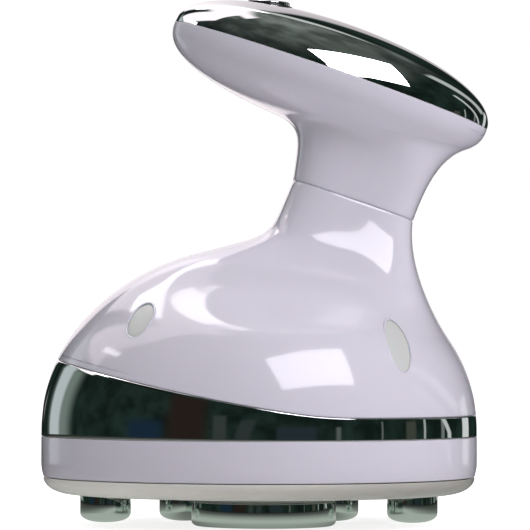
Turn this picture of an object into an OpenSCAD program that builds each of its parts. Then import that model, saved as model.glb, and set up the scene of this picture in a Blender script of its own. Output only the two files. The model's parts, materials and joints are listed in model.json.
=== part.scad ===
// Handheld radio frequency body device: a round treatment base under a mushroom-shaped handle.
// Millimetres. The origin is under the centre of the base, on the plane where the heads touch skin.
// +Z is up, +X is the side where the handle slopes down, and Y = 0 is the plane of symmetry.

/* [Base] */
// Radius of the base at its widest
base_r = 69; // [66:0.5:76]
// Height of the heads below the light cover
head_h = 9.8; // [8:0.2:12]
// Visible height of the light cover
light_h = 5.2; // [4.6:0.1:6]
// Visible height of the white ring under the chrome band
lower_h = 12.9; // [12:0.1:16]
// Width of the rounded bottom edge of the light cover
light_edge = 8.3; // [6:0.1:9]
// Thickness of the light cover
cover_t = 2; // [1.6:0.1:2.4]
// Wall of the plastic shells
wall = 2.6; // [2.2:0.1:3]

/* [Dome] */
// Height of the widest line of the dome over the lower ring
dome_waist = 2.1; // [1:0.1:4]
// Rise of the dome's ellipse over its widest line
dome_rise = 58; // [54:0.2:60]
// Height of the round part of the dome over its widest line
round_rise = 29; // [24:0.5:31]
// How far under the top of that ellipse the dome turns into the neck on the high side
shoulder_drop = 2.6; // [2:0.1:4]

/* [Neck and handle] */
// Distance of the neck seam's centre from the base axis
neck_x = 29.5; // [27:0.5:32]
// Height of the neck seam's centre
neck_z = 102.25; // [99:0.25:106]
// Length of the neck section at the seam
neck_len = 40; // [38:0.5:43]
// Width of the neck section at the seam
neck_w = 39.2; // [37:0.2:42]
// How far the neck's section is from an ellipse (0) towards a rounded square
neck_square = 1.2; // [0:0.1:1.4]
// Slope of the seam and of the handle
tilt = 19; // [17:0.5:21]
// Length of the handle
handle_len = 105; // [100:0.5:110]
// Width of the handle
handle_w = 70; // [66:0.5:76]
// Thickness of the handle above its parting line
top_h = 17; // [15:0.25:19]
// Thickness of the handle below its parting line
bottom_h = 17.6; // [17:0.2:20]
// Distance from the seam to the parting line, square to both
handle_rise = 35.6; // [34.5:0.2:39]
// How far the high tip lies ahead of the neck's centre, along the handle
tip_reach = 72.2; // [69:0.2:74]
// Wall of the chrome cover
cap_wall = 2.2; // [2:0.1:2.6]
// Depth of the tongue that holds the chrome cover
tongue_h = 2.6; // [2:0.1:3.2]

/* [Chrome band] */
// Thickness of the band
band_t = 1.2; // [1:0.1:1.3]
// Height of the band on the low side
band_low = 6.7; // [5:0.1:9]
// Extra height of the band on the high side
band_sweep = 18.6; // [12:0.2:19]

/* [Treatment heads] */
// Diameter of the large head
probe_d = 45.6; // [42:0.2:48]
// Forward offset of the large head from the base axis
probe_y = -10; // [-12:0.5:-8]
// Sideways offset of the large head
probe_x = 1.5; // [0:0.1:2]
// Height of the soft ring over the large head
probe_ring_h = 2; // [1.4:0.1:2.6]
// Diameter of a small head
pin_d = 16.2; // [14:0.2:17]
// Distance of an outer small head's centre from the base's widest line, along X
outer_inset = 20; // [19:0.5:22]
// Rearward place of the outer heads
outer_y = 9; // [7:0.5:11]
// Half the distance between the two inner heads
inner_x = 24; // [22:0.5:26]
// Rearward place of the inner heads
inner_y = 20; // [19:0.5:23]
// Diameter of the threaded stud on a small head
stud_d = 4; // [3.5:0.1:4.5]

/* [Windows] */
// Width of a light window
window_w = 9.4; // [8:0.1:10]
// Length of a window on the high side
window_high_len = 14.6; // [12:0.2:17]
// Length of a window on the low side
window_low_len = 20; // [17:0.1:21]
// Direction of a high-side window, from the -X axis
window_high_az = 48.5; // [44:0.5:52]
// Direction of a low-side window, from the +X axis
window_low_az = 45.5; // [40:0.5:50]
// Rise of a high-side window over the dome's widest line
window_high_rise = 34.7; // [32:0.1:36]
// Rise of a low-side window over the dome's widest line
window_low_rise = 27.2; // [25:0.1:30]

/* [Power button] */
// Diameter of the button
button_d = 12.4; // [11:0.1:13]
// Place of the button along the handle, from the high tip
button_u = 27; // [24:0.5:31]
// Lean of the button's axis from upright
button_lean = 3; // [0:0.5:8]
// How far the button stands over the cover
button_up = 1.1; // [0.9:0.1:1.8]
// Travel of the button
button_travel = 0.8; // [0.4:0.1:1]

/* [Inside] */
// Thickness of the chassis plate
chassis_t = 2.4; // [2:0.1:3]
// Thickness of the circuit boards
board_t = 1.6; // [1.2:0.1:2]
// Height of the posts under the main board
post_h = 6.5; // [6:0.1:8]
// Length of the main board
board_len = 92; // [88:1:94]
// Width of the main board
board_w = 70; // [66:1:72]
// Length of the transformer's core
coil_len = 28; // [24:0.5:30]
// Depth of the transformer's core
coil_w = 14; // [12:0.5:16]
// Height of the transformer's core
coil_h = 24; // [20:0.5:26]
// Length of the heat sink
sink_len = 30; // [26:0.5:32]
// Height of the heat sink
sink_h = 20; // [16:0.5:22]
// Diameter of the capacitors
can_d = 10; // [8:0.5:10.5]
// Height of the capacitors
can_h = 16; // [12:0.5:20]
// Distance of the shell screws from the base's widest line
screw_inset = 10; // [9.5:0.1:11.5]
// Diameter of the shell screws
screw_d = 3; // [2.5:0.1:3.5]
// Bore of the power socket
jack_bore = 5.5; // [5.5:0.1:5.6]
// Diameter of the power socket's pin
jack_pin = 2; // [1.9:0.1:2.1]

/* [Hidden] */
$fn = 64;
gap = 0.3;        // clearance between pieces that only lie near each other
fit = 0.15;       // clearance where one piece fits into another
sides = 56;       // points round a shell
steps = 8;        // rings in each stretch of a shell

// Levels of the base
seat_z = head_h + light_h;                    // seam between light cover and lower ring
band_z = seat_z + lower_h;                    // seam between lower ring and chrome band
waist_z = band_z + dome_waist;
cover_top = head_h + cover_t;
spigot_h = 2.2;                               // lip of the light cover inside the lower ring
chassis_z = seat_z + spigot_h + gap;
chassis_top = chassis_z + chassis_t;
shelf_t = 2;
shelf_top = chassis_top + shelf_t;
led_h = 1.2;
led_board_z = cover_top + 0.6 + led_h;
board_z = chassis_top + post_h;
board_top = board_z + board_t;
ring_in = base_r - wall;                      // inside radius of the lower ring
chassis_r = ring_in - 0.8;

// Small vector tools
function unit(v) = v / norm(v);
function bezier(a, b, c, d, t) =
  a * pow(1 - t, 3) + 3 * b * t * pow(1 - t, 2) + 3 * c * t * t * (1 - t) + d * pow(t, 3);
function along(a) = [cos(a), -sin(a)];        // down the slope, in X and Z
function square_to(a) = [sin(a), cos(a)];     // square to the slope, in X and Z

// A shell's cross-section: an oval between a high-side and a low-side point in the XZ plane.
// square is 0 for an ellipse and grows towards a rounded square.
function lobe(v, square) = sign(v) * pow(abs(v), 2 / (2 + square));
function around(j, square) = [lobe(cos(360 * j / sides), square), lobe(sin(360 * j / sides), square)];
function ring(high, low, half_w, square = 0) = let (mid = (high + low) / 2, arm = (low - high) / 2)
  [for (j = [0 : sides - 1]) let (c = around(j, square))
    [mid[0] + arm[0] * c[0], half_w * c[1], mid[1] + arm[1] * c[0]]];
function inset_ring(high, low, half_w, d, square = 0) = let (dir = unit(low - high))
  ring(high + d * dir, low - d * dir, half_w - d, square);
function skin_normal(g, i, j) = let (last = len(g) - 1)
  unit(cross(g[i][(j + 1) % sides] - g[i][(j + sides - 1) % sides],
             g[min(i + 1, last)][j] - g[max(i - 1, 0)][j]));
function inner_ring(g, i, d) = [for (j = [0 : sides - 1]) g[i][j] - d * skin_normal(g, i, j)];

// Closes a list of rings into a tube-like solid; the last ring joins the first
module ring_solid(rings) {
  m = len(rings);
  points = [for (r = rings) each r];
  faces = [for (i = [0 : m - 1]) for (j = [0 : sides - 1])
    let (a = i * sides + j, b = i * sides + (j + 1) % sides,
         c = ((i + 1) % m) * sides + j, d = ((i + 1) % m) * sides + (j + 1) % sides)
    each [[a, c, b], [b, c, d]]];
  polyhedron(points, faces, convexity = 10);
}

// Dome: an ellipse in outline, round up to round_rise, then drawn over to the neck
function dome_r(z, d = 0) = z <= waist_z ? base_r - d
  : (base_r - d) * sqrt(max(0, 1 - pow((z - waist_z) / (dome_rise - d), 2)));
function dome_slope(z) = pow(base_r / dome_rise, 2) * (z - waist_z) / dome_r(z);
seam_mid = [neck_x, neck_z];
seam_high = seam_mid - neck_len / 2 * along(tilt);
seam_low = seam_mid + neck_len / 2 * along(tilt);
round_z = waist_z + round_rise;
shoulder_z = waist_z + dome_rise - shoulder_drop;
shoulder = [-dome_r(shoulder_z), shoulder_z];
shoulder_dir = unit([dome_slope(shoulder_z), 1]);
neck_dir = unit([0.4, 0.92]);                 // the high side meets the seam leaning inwards
// Corner where the shoulder's and the neck's tangents cross
corner_k = (neck_dir[1] * (seam_high[0] - shoulder[0]) - neck_dir[0] * (seam_high[1] - shoulder[1]))
  / (shoulder_dir[0] * neck_dir[1] - shoulder_dir[1] * neck_dir[0]);
corner = shoulder + corner_k * shoulder_dir;
corner_pull = 1.12;                           // how sharply the fillet follows that corner
round_high = [-dome_r(round_z), round_z];
round_low = [dome_r(round_z), round_z];
flank_dir = unit([-dome_slope(round_z), 1]);
function high_side(t) = t < 0.5
  ? let (z = round_z + (shoulder_z - round_z) * 2 * t * (1.294 - 0.588 * t)) [-dome_r(z), z]
  : bezier(shoulder, shoulder + corner_pull * (corner - shoulder),
      seam_high + corner_pull * (corner - seam_high), seam_high, 2 * t - 1);
function low_side(t) = bezier(round_low, round_low + 5.3 * flank_dir,
  seam_low - 16 * unit([0.12, 1]), seam_low, t);
function dome_half_w(t) = norm(low_side(t) - high_side(t)) / 2
  * (1 - 0.1 * sin(180 * t)) * (1 + t * (neck_w / neck_len - 1));
// The neck turns squarer over its last 0.7 towards the seam
function square_at(t) = let (b = max(0, t - 0.3) / 0.7) neck_square * b * b * (3 - 2 * b);
rim_z = band_z + band_t;                      // the dome stands on the band's lip
dome_rings = concat(
  [for (i = [0 : steps - 1]) let (z = rim_z + (round_z - rim_z) * i / steps)
    ring([-dome_r(z), z], [dome_r(z), z], dome_r(z))],
  [for (i = [0 : 2 * steps]) let (t = i / (2 * steps))
    ring(high_side(t), low_side(t), dome_half_w(t), square_at(t))]);
dome_inner = concat(
  [inset_ring([-base_r, rim_z], [base_r, rim_z], base_r, wall)],
  [for (i = [2 : 2 : len(dome_rings) - 3]) inner_ring(dome_rings, i, wall)],
  [inset_ring(seam_high, seam_low, neck_w / 2, wall, neck_square)]);
function reversed(list) = [for (i = [len(list) - 1 : -1 : 0]) list[i]];

// Handle: u runs down the slope from the high tip, w is square to it
tip = seam_mid + handle_rise * square_to(tilt) - tip_reach * along(tilt);
function from_handle(u, w) = tip + u * along(tilt) + w * square_to(tilt);
half_len = handle_len / 2;
function belly(b) = [half_len * (1 + cos(b)), -bottom_h * pow(sin(b), 0.8)];
belly_high = 106;                             // where the neck leaves the belly, as angles round it
belly_low = 23;
seam_u0 = tip_reach - neck_len / 2;
seam_u1 = tip_reach + neck_len / 2;
function neck_high(t) = bezier([seam_u0, -handle_rise], [seam_u0 - 3, -handle_rise + 14],
  belly(belly_high) + [12, -0.6], belly(belly_high), t);
function neck_low(t) = bezier([seam_u1, -handle_rise], [seam_u1, -handle_rise + 12],
  belly(belly_low) - [6.8, 5], belly(belly_low), t);
function belly_half_w(w) = handle_w / 2 * sqrt(1 - pow(min(1, abs(w) / bottom_h), 2.5));
foot_half_w = belly_half_w((belly(belly_high)[1] + belly(belly_low)[1]) / 2);
function handle_ring(a, b, half_w, square = 0) =
  ring(from_handle(a[0], a[1]), from_handle(b[0], b[1]), half_w, square);
handle_rings = concat(
  [for (i = [0 : steps]) let (t = i / steps)
    handle_ring(neck_high(t), neck_low(t), neck_w / 2 + (foot_half_w - neck_w / 2) * pow(t, 2.2),
      square_at(1 - t))],
  [for (i = [1 : steps]) let (t = i / steps, a = belly(belly_high + (180 - belly_high) * t),
      b = belly(belly_low * (1 - t))) handle_ring(a, b, belly_half_w((a[1] + b[1]) / 2))]);
// An oval parallel to the parting line, d inside the outline and w over it
function rim_ring(d, w) = handle_ring([d, w], [handle_len - d, w], handle_w / 2 - d);
tongue_out = 1.3;                             // the tongue's outer face, inside the outline
tongue_in = 2.5;
groove_d = tongue_out - fit;
groove_h = tongue_h + gap;
handle_inner = concat(
  [rim_ring(groove_d, 0), rim_ring(groove_d, -groove_h), rim_ring(tongue_in + fit, -groove_h)],
  [for (i = [len(handle_rings) - 3 : -2 : 1]) inner_ring(handle_rings, i, wall)],
  [inset_ring(seam_high, seam_low, neck_w / 2, wall, neck_square)]);

// Chrome cover: sections along the handle, each a flank, a crease and a shallow crown
cap_sections = sides / 2;
fullness = 0.94;                              // under 1 makes the tips blunter than an ellipse
function spine(a) = pow(sin(a), fullness);
crease = [0.80, 0.709];                       // the crease, as shares of half width and height
crown_w = crease[0] / sqrt(1 - pow(crease[1], 2));
function flank(t) = [1, 0] * pow(1 - t, 2) + 2 * [0.952, 0.395] * t * (1 - t) + crease * t * t;
function crown(k) = [k, sqrt(1 - pow(k / crown_w, 2))];
half_profile = concat([for (t = [0 : 1 / 3 : 0.9]) flank(t)],
  [for (i = [0 : 4]) crown(crease[0] * (1 - i / 4))]);
cap_profile = concat(half_profile,
  [for (i = [len(half_profile) - 2 : -1 : 0]) [-half_profile[i][0], half_profile[i][1]]]);
cap_last = len(cap_profile) - 1;
function cap_point(a, q, d, t) = let (
  p = from_handle(half_len + (half_len - d) * cos(a), q[1] * (top_h - t) * spine(a)))
  [p[0], q[0] * (handle_w / 2 - d) * sin(a), p[1]];
function cap_skin(d, t) = [for (i = [1 : cap_sections - 1]) for (j = [1 : cap_last - 1])
  cap_point(180 * i / cap_sections, cap_profile[j], d, t)];
// Number of the point at section i and profile place j, in a skin whose rim starts at r
function cap_id(i, j, r, s) = i == 0 ? r : i == cap_sections ? r + cap_sections
  : j == 0 ? r + i : j == cap_last ? r + sides - i : s + (i - 1) * (cap_last - 1) + j - 1;
function cap_faces(r, s, out) = [for (i = [0 : cap_sections - 1]) for (j = [0 : cap_last - 1])
  let (a = cap_id(i, j, r, s), b = cap_id(i + 1, j, r, s),
       c = cap_id(i + 1, j + 1, r, s), d = cap_id(i, j + 1, r, s))
  each [for (f = [[a, b, c], [a, c, d]]) if (f[0] != f[1] && f[1] != f[2] && f[0] != f[2])
    out ? f : [f[0], f[2], f[1]]]];
function loop_faces(m, n) = [for (j = [0 : sides - 1]) let (k = (j + 1) % sides)
  each [[m + j, n + j, m + k], [m + k, n + j, n + k]]];
module cap_solid() {
  loops = [for (r = [rim_ring(0, 0), rim_ring(tongue_out, 0), rim_ring(tongue_out, -tongue_h),
    rim_ring(tongue_in, -tongue_h), rim_ring(tongue_in, 0)]) each r];
  outer = cap_skin(0, 0);
  inner = cap_skin(tongue_in, cap_wall);
  first = len(loops);
  second = first + len(outer);
  polyhedron(concat(loops, outer, inner),
    concat(cap_faces(0, first, false), loop_faces(sides, 0), loop_faces(2 * sides, sides),
      loop_faces(3 * sides, 2 * sides), loop_faces(4 * sides, 3 * sides),
      cap_faces(4 * sides, second, true)), convexity = 10);
}

// Places of the heads and of what holds them
outer_x = base_r - outer_inset;
head_places = [[-outer_x, outer_y], [outer_x, outer_y], [-inner_x, inner_y], [inner_x, inner_y]];
gasket_t = 0.8;
stud_r = stud_d / 2;
sleeve_r = stud_r + 2.5;
terminal_t = 0.8;
nut_h = 3.2;
stud_top = chassis_top + terminal_t + nut_h + 1;
probe_r = probe_d / 2;
probe_neck_r = probe_r - 2.2;                 // the large head narrows where it enters the cover
probe_wall = 2;
probe_screw_ring = 13;
screw_r = screw_d / 2;
screw_ring = base_r - screw_inset;
screw_hole = screw_r + 0.2;
head_r = screw_r + 1.3;
screw_head_h = 1.9;
boss_r = screw_r + 2.1;
shell_screw_az = [65, 115, 245, 295];
post_x = board_len / 2 - 8;
post_y = board_w / 2 - 9;
peg_ring = 44;
led_board_r = ring_in - 3.4;
led_ring = led_board_r - 3.5;
socket_w = 9.2;
socket_h = 7.6;
socket_depth = 13.5;
socket_back = ring_in - 0.9 - socket_depth;
socket_z = chassis_top + socket_h / 2;
rib_t = 1.2;
slot_w = socket_w + 2 * (fit + rib_t + gap);

module at_heads() { for (p = head_places) translate([p[0], p[1], 0]) children(); }
module at_probe() { translate([probe_x, probe_y, 0]) children(); }
module at_probe_screws() {
  at_probe() for (a = [90, 210, 330]) rotate(a) translate([probe_screw_ring, 0, 0]) children();
}
module at_shell_screws() {
  for (a = shell_screw_az) rotate(a) translate([screw_ring, 0, 0]) children();
}
module at_posts() { for (x = [-1, 1]) for (y = [-1, 1]) translate([x * post_x, y * post_y, 0]) children(); }
module at_pegs() { for (a = [45 : 90 : 315]) rotate(a) translate([peg_ring, 0, 0]) children(); }
module bar(z0, z1, r) { translate([0, 0, z0]) cylinder(h = z1 - z0, r = r); }
module washer(z0, z1, inner_r, outer_r) {
  difference() { bar(z0, z1, outer_r); bar(z0 - 1, z1 + 1, inner_r); }
}
// A screw standing on its head: the head's seat is at 0, the shank goes up
module screw(len) { bar(-screw_head_h, 0, head_r); bar(0, len, screw_r); }

// The band's upper edge, seen from the side: level on the low side, swept up to the high side
edge_bend = 0.29 * base_r;
function band_edge(x) = let (s = edge_bend - x, q = (s + sqrt(s * s + 64)) / 2 / (base_r + edge_bend))
  band_z + band_low + band_sweep * q * (0.686 + 0.314 * q);
module band_side(lift) {
  reach = base_r + 3;
  rotate([90, 0, 0]) linear_extrude(2 * reach, center = true) polygon(concat(
    [for (x = [-reach : reach / 18 : reach + 0.01]) [x, band_edge(x) + lift]],
    [[reach, band_z - 1], [-reach, band_z - 1]]));
}
function dome_line(d, top) = [for (i = [0 : 16]) let (z = band_z + (top - band_z) * i / 16)
  [dome_r(z) - d, z]];
band_top_z = band_edge(-base_r) + 1;
lip_w = wall + 0.6;
module chrome_band() {
  color([0.14, 0.18, 0.17]) intersection() {
    union() {
      rotate_extrude() polygon(concat(dome_line(0, band_top_z), reversed(dome_line(band_t, band_top_z))));
      washer(band_z, rim_z, base_r - lip_w, base_r - band_t / 2);
    }
    band_side(0);
  }
}
module band_seat() {
  intersection() {
    rotate_extrude() polygon(concat(
      [[base_r + 2, band_z], [base_r + 2, band_top_z + 2]],
      reversed(dome_line(band_t + fit, band_top_z + 2))));
    band_side(fit);
  }
}

// Neck joint: the handle's spigot stands on a web inside the dome's neck
web_t = 2.4;
web_top = -8.8;
web_shift = 2;
web_hole = 8;
neck_screw_ring = 12.5;
spigot_r = neck_w / 2 - wall - 0.5;
module at_neck() { translate([neck_x, 0, neck_z]) rotate([0, tilt, 0]) children(); }
module at_neck_screws() {
  at_neck() for (a = [0, 120, 240]) rotate(a) translate([neck_screw_ring, 0, 0]) children();
}
// A bar with the neck's section, from z0 to z1
module neck_bar(z0, z1, r, square = 0.8 * neck_square, grow = 1) {
  translate([0, 0, z0]) linear_extrude(z1 - z0, scale = grow)
    polygon([for (j = [0 : sides - 1]) r * around(j, square)]);
}
// The dome is narrower across the web than the neck's own tilt suggests, so the web stays inside it
module neck_web() {
  at_neck() difference() {
    translate([web_shift, 0, 0]) neck_bar(web_top - web_t, web_top, neck_w / 2 + 0.8, 0.5 * neck_square);
    bar(web_top - web_t - 1, web_top + 1, web_hole);
  }
}
module spigot() {
  inner = spigot_r - 2.2;
  grip = neck_w / 2 - 1;
  at_neck() difference() {
    union() {
      neck_bar(web_top, 1.6, spigot_r);
      neck_bar(1.5, 3.5, spigot_r, grow = grip / spigot_r);
      neck_bar(3.4, 7, grip);
    }
    neck_bar(web_top + 2.4, 8, inner);
    bar(web_top - 1, web_top + 3, web_hole);
  }
  at_neck_screws() bar(web_top, web_top + 8, boss_r - 0.4);
}

// Light windows: flat ovals cut square to the dome, with lenses that follow its curve
function window_place(az, rise) = let (r = dome_r(waist_z + rise)) [r * cos(az), r * sin(az), waist_z + rise];
function window_lift(rise) = atan2(rise * base_r * base_r, dome_r(waist_z + rise) * dome_rise * dome_rise);
window_roll = 16;                             // turn of the ovals in the dome's skin
module at_window(az, rise) {
  p = window_place(az, rise);
  roll = abs(az) > 90 ? window_roll : -window_roll;
  translate(p) rotate([0, 0, az]) rotate([0, 90 - window_lift(rise), 0])
    rotate(az < 0 ? roll : -roll) children();
}
module oval(len, w, grow, z0, z1) {
  translate([0, 0, z0]) linear_extrude(z1 - z0)
    polygon([for (a = [0 : 12 : 359]) [(len / 2 + grow) * cos(a), (w / 2 + grow) * sin(a)]]);
}
lens_sunk = 0.3;
lens_t = 1.9;
module lens(az, rise, len) {
  color([0.78, 0.79, 0.77]) intersection() {
    at_window(az, rise) oval(len, window_w, -fit, -8, 3);
    rotate_extrude() polygon(concat(
      [for (i = [0 : 18]) let (z = waist_z + rise - 14 + i * 28 / 18) [dome_r(z, lens_sunk), z]],
      [for (i = [18 : -1 : 0]) let (z = waist_z + rise - 14 + i * 28 / 18)
        [dome_r(z, lens_sunk + lens_t), z]]));
  }
}
high_az = 180 - window_high_az;
module window_front_left() { lens(-high_az, window_high_rise, window_high_len); }
module window_rear_left() { lens(high_az, window_high_rise, window_high_len); }
module window_front_right() { lens(-window_low_az, window_low_rise, window_low_len); }
module window_rear_right() { lens(window_low_az, window_low_rise, window_low_len); }
module window_holes() {
  for (s = [-1, 1]) {
    at_window(s * high_az, window_high_rise) oval(window_high_len, window_w, 0, -9, 4);
    at_window(s * window_low_az, window_low_rise) oval(window_low_len, window_w, 0, -9, 4);
  }
}
module window_leds() {
  back = -lens_sunk - lens_t - 0.05;
  color("white") for (s = [-1, 1]) for (w = [[high_az, window_high_rise], [window_low_az, window_low_rise]])
    at_window(s * w[0], w[1]) {
      bar(back - 1, back, 1.5);
      translate([-3, -2.5, back - 2]) cube([6, 5, 1]);
    }
}

module dome_shell() {
  boss_top = waist_z + dome_rise * sqrt(1 - pow((screw_ring + boss_r + band_t + fit + 0.3) / base_r, 2));
  color([0.84, 0.82, 0.88]) difference() {
    union() {
      ring_solid(concat(dome_rings, reversed(dome_inner)));
      neck_web();
      at_shell_screws() bar(shelf_top, boss_top, boss_r);
    }
    band_seat();
    window_holes();
    at_shell_screws() bar(shelf_top - 1, shelf_top + 14, screw_hole);
    at_neck_screws() bar(web_top - web_t - 1, web_top + 1, screw_hole);
  }
}

module lower_shell() {
  color([0.84, 0.82, 0.88]) difference() {
    rotate_extrude() polygon([[base_r - 0.65, seat_z + gap], [base_r - 0.25, seat_z + 1.8],
      [base_r - 0.05, seat_z + 3.2], [base_r, seat_z + 4.6], [base_r, band_z], [ring_in, band_z],
      [ring_in, shelf_top], [screw_ring - boss_r - 0.6, shelf_top], [screw_ring - boss_r - 0.6, chassis_top],
      [ring_in, chassis_top], [ring_in, seat_z + gap]]);
    at_shell_screws() bar(chassis_top - 1, shelf_top + 1, screw_hole);
    translate([-slot_w / 2, socket_back - 4, chassis_top - 1])
      cube([slot_w, ring_in - 0.4 - socket_back + 4, shelf_t + 2]);
    translate([0, ring_in - 2, socket_z]) rotate([-90, 0, 0]) cylinder(h = 8, r = socket_nose + fit);
  }
}

module light_cover() {
  edge_r = base_r - 0.7;
  flat_r = edge_r - light_edge;
  lip_out = ring_in - gap;
  lip_in = lip_out - 1.8;
  in_a = acos((lip_in - flat_r) / (light_edge - cover_t));
  color([0.82, 0.8, 0.77]) difference() {
    union() {
      rotate_extrude() polygon(concat(
        [[0, cover_top], [0, head_h], [flat_r, head_h]],
        [for (a = [80 : -10 : 0]) [flat_r + light_edge * cos(a), seat_z - light_h * sin(a)]],
        [[lip_out, seat_z], [lip_out, seat_z + spigot_h], [lip_in, seat_z + spigot_h]],
        [for (i = [0 : 5]) let (a = in_a + (90 - in_a) * i / 5)
          [flat_r + (light_edge - cover_t) * cos(a), seat_z - (light_h - cover_t) * sin(a)]]));
      at_shell_screws() bar(head_h + 0.5, chassis_z, boss_r + 0.9);
    }
    at_shell_screws() {
      bar(head_h - 1, cover_top + 0.8, head_r + 0.4);
      bar(head_h - 1, chassis_z + 1, screw_hole);
    }
    at_heads() bar(head_h - 1, cover_top + 1, stud_r + gap);
    at_probe() bar(head_h - 1, cover_top + 1, probe_neck_r + fit);
  }
}

module chassis() {
  color([0.25, 0.26, 0.28]) difference() {
    union() {
      bar(chassis_z, chassis_top, chassis_r);
      at_posts() bar(chassis_top, board_z, 3.2);
      at_pegs() {
        bar(led_board_z + board_t, chassis_z, 2.4);
        bar(led_board_z - 1, chassis_z, 1.2);
      }
      at_heads() bar(cover_top, chassis_z, sleeve_r);
      for (x = [-1, 1]) translate([x * (socket_w / 2 + fit + rib_t / 2), socket_back + 7, chassis_top + 2])
        cube([rib_t, 9, 4], center = true);
    }
    at_heads() bar(cover_top - 1, chassis_top + 1, stud_r + fit);
    at_probe() bar(chassis_z - 1, chassis_top + 1, 5);
    at_probe_screws() bar(chassis_z - 1, chassis_top + 1, screw_hole);
    at_shell_screws() bar(chassis_z - 1, chassis_top + 1, screw_hole);
    at_posts() bar(chassis_top, board_z + 1, screw_hole);
  }
}

module probe_head() {
  shoulder_z0 = head_h - probe_ring_h;
  corner_r = 1.8;
  inside = probe_neck_r - probe_wall;
  color([0.62, 0.65, 0.63]) difference() {
    union() {
      at_probe() rotate_extrude() polygon(concat([[0, 0]],
        [for (a = [0 : 15 : 90]) [probe_r - corner_r + corner_r * sin(a), corner_r - corner_r * cos(a)]],
        [[probe_r, shoulder_z0], [probe_neck_r, shoulder_z0], [probe_neck_r, chassis_z],
          [inside, chassis_z], [inside, probe_wall], [0, probe_wall]]));
      at_probe_screws() bar(probe_wall - 0.5, chassis_z, boss_r - 0.6);
    }
    at_probe_screws() bar(chassis_z - 9, chassis_z + 1, screw_hole);
  }
}
module probe_ring() {
  color([0.72, 0.73, 0.7]) at_probe()
    washer(head_h - probe_ring_h, head_h, probe_neck_r + fit, probe_r - 0.1);
}
module temperature_sensor() {
  color("darkorange") at_probe() { bar(probe_wall, probe_wall + 1, 3.4); bar(probe_wall, probe_wall + 4, 1.8); }
}
module probe_screws() {
  color("gray") at_probe_screws() translate([0, 0, chassis_top]) mirror([0, 0, 1]) screw(9);
}

// A small head: a rounded plated cap on a threaded stud
module small_head(p) {
  r = pin_d / 2;
  bulge = 3.3;
  power = 2.6;
  top = head_h - gasket_t;
  color([0.62, 0.65, 0.63]) translate([p[0], p[1], 0]) {
    rotate_extrude() polygon(concat([[0, 0]],
      [for (i = [0 : 10]) let (a = 4 + 86 * i / 10)
        [r * pow(sin(a), 2 / power), bulge * (1 - pow(cos(a), 2 / power))]],
      [[r, top], [0, top]]));
    bar(top - 0.5, stud_top, stud_r);
  }
}
module electrode_left() { small_head(head_places[0]); }
module electrode_right() { small_head(head_places[1]); }
module electrode_rear_left() { small_head(head_places[2]); }
module electrode_rear_right() { small_head(head_places[3]); }
module electrode_gaskets() {
  color([0.3, 0.3, 0.3]) at_heads() washer(head_h - gasket_t, head_h, stud_r + fit, pin_d / 2 - 1);
}
module electrode_terminals() {
  color("gold") at_heads() difference() {
    union() {
      bar(chassis_top, chassis_top + terminal_t, stud_r + 2);
      translate([-1.5, 0, chassis_top]) cube([3, stud_r + 6, terminal_t]);
    }
    bar(chassis_top - 1, chassis_top + 2, stud_r + fit);
  }
}
module electrode_nuts() {
  color("silver") at_heads() difference() {
    translate([0, 0, chassis_top + terminal_t]) cylinder(h = nut_h, r = stud_r + 2.04, $fn = 6);
    bar(chassis_top, stud_top + 1, stud_r + fit / 2);
  }
}

module led_board() {
  color([0.1, 0.35, 0.2]) difference() {
    bar(led_board_z, led_board_z + board_t, led_board_r);
    at_probe() bar(led_board_z - 1, chassis_z, probe_neck_r + 0.8);
    at_heads() bar(led_board_z - 1, chassis_z, sleeve_r + 0.5);
    at_pegs() bar(led_board_z - 1, chassis_z, 1.2 + fit);
    at_shell_screws() bar(led_board_z - 1, chassis_z, boss_r + 0.9 + gap);
  }
}
module leds() {
  color([0.85, 0.2, 0.2]) for (a = [15 : 30 : 345]) rotate(a)
    translate([led_ring - 1.5, -1.5, led_board_z - led_h]) cube([3, 3, led_h]);
}

module main_board() {
  color([0.1, 0.35, 0.2]) difference() {
    intersection() {
      bar(board_z, board_top, norm([post_x, post_y]) + 4);
      translate([0, 0, board_z + board_t / 2]) cube([board_len, board_w, board_t], center = true);
    }
    at_posts() bar(board_z - 1, board_top + 1, screw_hole);
  }
}
module board_screws() {
  color("gray") at_posts() translate([0, 0, board_top]) mirror([0, 0, 1]) screw(7);
}
coil_place = [-16, -4];
module rf_transformer() {
  core = [coil_len, coil_w, coil_h];
  leg = 0.16 * coil_len;
  slot = 0.19 * coil_len;
  color([0.2, 0.2, 0.22]) translate([coil_place[0], coil_place[1], board_top + core[2] / 2]) {
    difference() {
      cube(core, center = true);
      for (x = [-1, 1]) translate([x * (core[0] / 2 - leg - slot / 2), 0, 0])
        cube([slot, core[1] + 2, core[2] - 2 * leg], center = true);
    }
    color([0.7, 0.45, 0.2]) cube([core[0] - 2 * leg + 0.4, core[1] + 8, core[2] - 2 * leg - 0.6], center = true);
  }
}
sink_place = [post_x - 34, 4 - post_y];
module heat_sink() {
  color([0.55, 0.57, 0.6]) translate([sink_place[0], sink_place[1], board_top]) {
    cube([sink_len, 3, sink_h]);
    for (i = [0 : 6]) translate([i * (sink_len - 1.8) / 6, -7, 0]) cube([1.8, 7.5, sink_h]);
  }
}
module power_transistors() {
  color([0.15, 0.15, 0.16]) for (x = [0.1, 0.57] * sink_len)
    translate([sink_place[0] + x, sink_place[1] + 3, board_top]) {
    translate([0, 0, 4]) cube([10, 1.3, 15.5]);
    translate([0, 1.2, 4]) cube([10, 3.2, 9]);
    for (i = [1.6, 4.6, 7.6]) translate([i, 1.6, 0]) cube([0.8, 0.6, 4.5]);
  }
}
module capacitors() {
  color([0.2, 0.25, 0.5]) for (i = [0 : 2])
    translate([6 + can_d / 2 + (can_d + 2) * i - post_x, post_y + 3 - can_d / 2, 0])
      bar(board_top, board_top + can_h, can_d / 2);
}

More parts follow.
